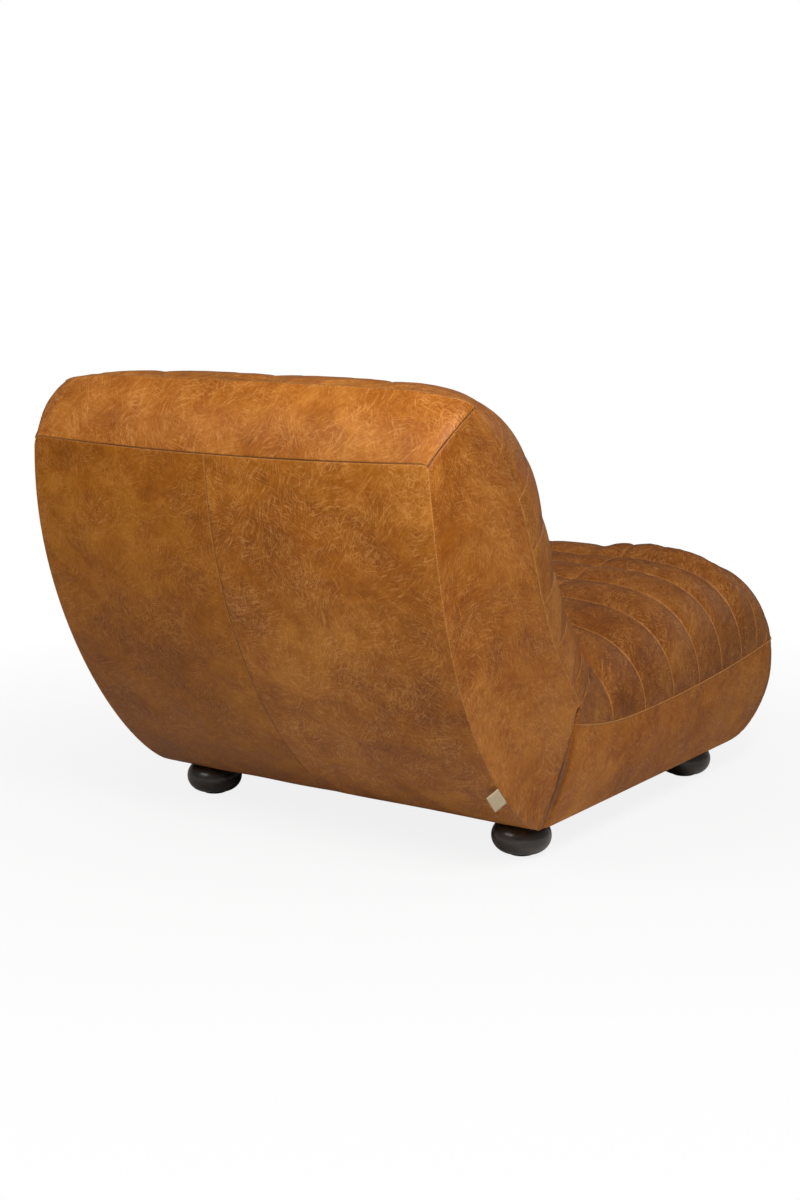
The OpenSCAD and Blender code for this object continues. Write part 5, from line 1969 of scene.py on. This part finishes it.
@dataclass
class ClothLayers:
    """Linings, deck cloth, dust cover and the blank tag."""

    cell: float = 0.025
    sag: float = 0.0022
    tag_w: float = 0.036
    tag_l: float = 0.022
    tag_t: float = 0.0009
    tag_hinge: tuple[float, float, float] = (-0.36340, 0.37842, 0.12290)
    tag_up: tuple[float, float, float] = (0, 0.02445, 0.02643)
    tag_off: tuple[float, float, float] = (0.01685, 0.00341, -0.01713)
    tag_curl: float = 0.0012
    tag_wave: float = 0.0004
    tag_lines: int = 14

    def sheet_from(self, node: str, name: str) -> bpy.types.Object:
        """Makes a finely divided copy of a thin construction layer, slightly uneven.

        Args:
            node: The construction node.
            name: The new piece's name.

        Returns:
            The copy.
        """
        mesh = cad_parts[node].data.copy()
        mesh.name = name
        work = bmesh.new()
        work.from_mesh(mesh)
        bmesh.ops.remove_doubles(work, verts=work.verts, dist=1e-6)
        low, high = (Vector(c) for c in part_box(node))
        for axis in range(2):
            span = high[axis] - low[axis]
            for number in range(1, int(span/self.cell)):
                place = low.copy()
                place[axis] += number*span/int(span/self.cell)
                normal = Vector([1.0 if q == axis else 0.0 for q in range(3)])
                parts = work.verts[:] + work.edges[:] + work.faces[:]
                bmesh.ops.bisect_plane(work, geom=parts, plane_co=place, plane_no=normal)
        bmesh.ops.triangulate(work, faces=work.faces)
        points = np.array([v.co for v in work.verts])
        middle = 0.5*(np.array(low) + np.array(high))
        half = np.maximum(0.5*(np.array(high) - np.array(low)), 1e-6)
        share = np.clip(1 - np.abs((points - middle)/half)[:, :2], 0, 1).prod(1)**0.5
        flat = points*np.array([1, 1, 0])
        drop = self.sag*share*(0.7 + 0.3*ripple(flat, 0.12, 7))
        for vert, fall in zip(work.verts, drop):
            vert.co.z -= float(fall)
        work.to_mesh(mesh)
        work.free()
        return put_in_scene(name, mesh)

    def build(self, finishes: Finishes) -> None:
        """Builds and dresses every layer and the tag.

        Args:
            finishes: Every finish by its short name.
        """
        layers = {"dust_cover": ("dust_cover_cloth", "lining"),
                  "seat_deck_cloth": ("deck_cloth_layer", "deck"),
                  "back_lining": ("back_lining_layer", "lining"),
                  "seat_lining": ("seat_lining_layer", "lining")}
        for node, (name, finish) in layers.items():
            low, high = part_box(node)
            piece = seat_piece(self.sheet_from(node, name), finishes[finish], "lining_cloth", node)
        self.build_tag(finishes["tag"])

    def build_tag(self, material: bpy.types.Material) -> None:
        """Builds the blank tag, one edge sewn into the seam low on the back and the rest free.

        Args:
            material: The tag's finish.
        """
        hinge = np.array(self.tag_hinge)
        along, run = np.array(self.tag_up), np.array(self.tag_off)
        out = np.cross(along, run)
        out /= -np.linalg.norm(out)
        n = self.tag_lines
        a, b = np.meshgrid(np.linspace(0, 1, n), np.linspace(0, 1, n), indexing="ij")
        curl = self.tag_curl*b*b*(0.4 + 0.6*a) + self.tag_wave*np.sin(5*a + 2*b)*b
        middle = hinge + a[..., None]*along + b[..., None]*run + curl[..., None]*out
        top, under = middle + 0.5*self.tag_t*out, middle - 0.5*self.tag_t*out
        verts = np.concatenate([top.reshape(-1, 3), under.reshape(-1, 3)])
        faces = grid_faces(n, n) + [f[::-1] for f in grid_faces(n, n, n*n)]
        ring = ([(0, j) for j in range(n - 1)] + [(i, n - 1) for i in range(n - 1)]
                + [(n - 1, j) for j in range(n - 1, 0, -1)] + [(i, 0) for i in range(n - 1, 0, -1)])
        for (i, j), (p, q) in zip(ring, ring[1:] + ring[:1]):
            faces.append((i*n + j, p*n + q, n*n + p*n + q, n*n + i*n + j))
        obj = add_object("blank_tag", verts, faces)
        face_outwards(obj)
        piece = seat_piece(obj, material, "tag_cloth", "label_tag")


class Hardware(Enum):
    """Construction nodes that show as they are, by the finish that each gets."""

    PLYWOOD = ("plywood", ("back_gable_left", "back_gable_right", "back_center_rib",
                           "seat_gable_left", "seat_gable_right", "back_panel_board"))
    PINE = ("pine", ("back_top_rail", "back_mid_rail", "back_lower_rail", "seat_front_rail",
                     "seat_rear_rail", "seat_cross_rail", "seat_nose_rail", "seat_nose_board",
                     "base_rail_front", "base_rail_rear", "base_rail_left", "base_rail_right",
                     "corner_blocks"))
    STEEL = ("steel", ("seat_springs", "spring_clips", "joint_bolts", "joint_washers",
                       "joint_nuts", "hanger_bolts", "foot_inserts"))
    WEBBING = ("webbing", ("back_webbing",))
    FELT = ("felt", ("foot_glides",))
    FEET = ("lacquer", ("foot_rear_left", "foot_rear_right", "foot_front_left", "foot_front_right"))

    def dress_nodes(self, finishes: Finishes) -> None:
        """Gives this group's nodes their finish.

        Args:
            finishes: Every finish by its short name.
        """
        finish, nodes = self.value
        for node in nodes:
            dress(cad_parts[node], finishes[finish])
            LOG.info("%s: carried over in %s", node, finish)


def make_finishes() -> Finishes:
    """Makes every finish of the chair.

    Returns:
        The materials by a short name.
    """
    kinds = {
        "outer_left": LeatherFinish("leather_outer_left", "#703901", "#874b04", "#9c5f13", veins=0.32),
        "outer_right": LeatherFinish("leather_outer_right", "#753c03", "#8f5009", "#a9691f", veins=0.55),
        "gusset": LeatherFinish("leather_gussets", "#773b06", "#905010", "#a96824", veins=0.5),
        "quilt": LeatherFinish("leather_back_quilting", "#713a08", "#8b4e11", "#a26523", veins=0.45),
        # Painted shade: the seat's quilting leather is a darker copy of the back's, for the shade the seat
        # lies in.
        "seat_quilt": LeatherFinish("leather_seat_quilting_shaded", "#613009", "#784010", "#8c541f", veins=0.42),
        "border": LeatherFinish("leather_borders", "#793c07", "#955310", "#ab6a24", veins=0.45),
        "thread": ThreadFinish("quilting_thread", "#8a5526", "#a87440"),
        "dark_thread": ThreadFinish("seam_thread", "#47260b", "#6b3f17"),
        "lacquer": LacquerFinish(),
        "plywood": WoodFinish("birch_plywood", "#d3b282", "#b88f5a", (4.0, 60.0, 14.0), 620.0),
        "pine": WoodFinish("sawn_pine", "#dcbb88", "#b98c53", (3.0, 48.0, 48.0)),
        "steel": MetalFinish(),
        "webbing": WovenFinish("elastic_webbing", "#2f2823", "#5a4c41", 260.0),
        "lining": WovenFinish("black_lining_cloth", "#161617", "#2f2f32", 420.0),
        "deck": WovenFinish("deck_cloth", "#b9b1a0", "#e2dccd", 300.0),
        "tag": WovenFinish("blank_tag_cotton", "#c4b08c", "#dccba9", 520.0),
        "felt": WovenFinish("pressed_felt", "#453e36", "#6a6055", 240.0, 0.96),
        "foam": FoamFinish("upholstery_foam", "#ebdfb2", "#d2c28a", 520.0),
        "wadding": FoamFinish("polyester_wadding", "#f4f2ec", "#dedbd2", 240.0),
    }
    return {key: kind.build() for key, kind in kinds.items()}


@dataclass(frozen=True)
class Studio:
    """Pale floor, soft lamps and the camera at the photograph's viewing angle."""

    eye: tuple[float, float, float] = (-1.76864, 2.69213, 0.90996)
    turn: float = 0.6027745
    dip: float = 0.1791021
    lens: float = 58.105
    sensor: float = 36.0
    world: float = 0.165
    aim: tuple[float, float, float] = (0, 0.1, 0.35)
    floor_half: float = 20.0

    def build(self) -> None:
        """Builds floor, light and camera."""
        self.build_floor()
        self.build_world()
        self.build_lamp("key_softbox", (-1.38, 1.36, 2.00), 1.0, 58.0)
        self.build_lamp("rear_softbox", (0.7, 2.4, 2.0), 1.5, 28.0)
        self.build_lamp("top_softbox", (0.2, -1.4, 3.4), 2.6, 3.0)
        self.build_lamp("front_softbox", (-0.9, -2.6, 1.2), 1.4, 3.5)
        self.build_camera()
        bpy.context.scene.view_settings.view_transform = "Standard"

    def build_floor(self) -> None:
        """Builds the floor, which turns plain white away from the chair."""
        half = self.floor_half
        obj = add_object("studio_floor", [(-half, -half, 0), (half, -half, 0), (half, half, 0),
                                          (-half, half, 0)], [(0, 1, 2, 3)])
        sheet = NodeSheet("studio_floor_paper")
        sheet.shade(Base_Color=(0.6, 0.6, 0.6, 1), Roughness=0.9)
        away = sheet.put("ShaderNodeVectorMath", {"operation": "LENGTH"},
                         {0: sheet.place()}).outputs["Value"]
        path = sheet.put("ShaderNodeLightPath")
        seen = path.outputs["Is Camera Ray"]
        white = sheet.put("ShaderNodeEmission", None, {"Color": (1, 1, 1, 1), "Strength": 1.0})
        share = sheet.math("MULTIPLY", seen, sheet.span(away, 0.5, 1.6, 0.86, 1.0))
        both = sheet.put("ShaderNodeMixShader", None, {0: share, 1: sheet.shader.outputs[0],
                                                       2: white.outputs[0]})
        out = next(n for n in sheet.tree.nodes if n.type == "OUTPUT_MATERIAL")
        sheet.tree.links.new(both.outputs[0], out.inputs["Surface"])
        dress(obj, sheet.material)

    def build_world(self) -> None:
        """Builds the surroundings: white where they are seen, softer where they light."""
        world = bpy.data.worlds.new("studio_world")
        bpy.context.scene.world = world
        world.use_nodes = True
        tree = world.node_tree
        tree.nodes.clear()
        path, seen, strength, light, out = (tree.nodes.new(f"ShaderNode{kind}") for kind in (
            "LightPath", "Math", "MapRange", "Background", "OutputWorld"))
        seen.operation = "MAXIMUM"
        strength.inputs[3].default_value, strength.inputs[4].default_value = self.world, 1.0
        light.inputs["Color"].default_value = (1, 1, 1, 1)
        for source, target in ((path.outputs["Is Camera Ray"], seen.inputs[0]),
                               (path.outputs["Is Transmission Ray"], seen.inputs[1]),
                               (seen.outputs[0], strength.inputs[0]),
                               (strength.outputs[0], light.inputs["Strength"]),
                               (light.outputs[0], out.inputs["Surface"])):
            tree.links.new(source, target)

    def build_lamp(self, name: str, place: tuple[float, float, float], size: float,
                   power: float) -> None:
        """Builds a square softbox that faces the chair.

        Args:
            name: The lamp's name.
            place: Its centre.
            size: Its side.
            power: Its power in watts.
        """
        lamp = bpy.data.lights.new(name, "AREA")
        lamp.shape, lamp.size, lamp.energy = "SQUARE", size, power
        obj = put_in_scene(name, lamp)
        ray = Vector(self.aim) - Vector(place)
        obj.matrix_world = Matrix.Translation(place) @ ray.to_track_quat("-Z", "Y").to_matrix().to_4x4()

    def build_camera(self) -> None:
        """Builds the camera where the photograph was taken from."""
        lens = bpy.data.cameras.new("photo_camera")
        lens.lens, lens.sensor_width, lens.sensor_fit = self.lens, self.sensor, "AUTO"
        lens.clip_end = 60.0
        obj = put_in_scene("photo_camera", lens)
        away = Vector((-math.sin(self.turn)*math.cos(self.dip), math.cos(self.turn)*math.cos(self.dip),
                       math.sin(self.dip)))
        obj.matrix_world = Matrix.Translation(self.eye) @ away.to_track_quat("Z", "Y").to_matrix().to_4x4()
        bpy.context.scene.camera = obj


def main() -> None:
    """Builds the chair's covers, padding, layers and hardware, then the studio."""
    logging.basicConfig(level=logging.INFO, format="%(name)s: %(message)s")
    finishes = make_finishes()
    back = BackUnit()
    back.build(finishes)
    SeatUnit(back=back).build(finishes)
    Padding().build(finishes)
    ClothLayers().build(finishes)
    for group in Hardware:
        group.dress_nodes(finishes)
    Studio().build()
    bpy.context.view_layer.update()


if __name__ == "__main__":
    main()
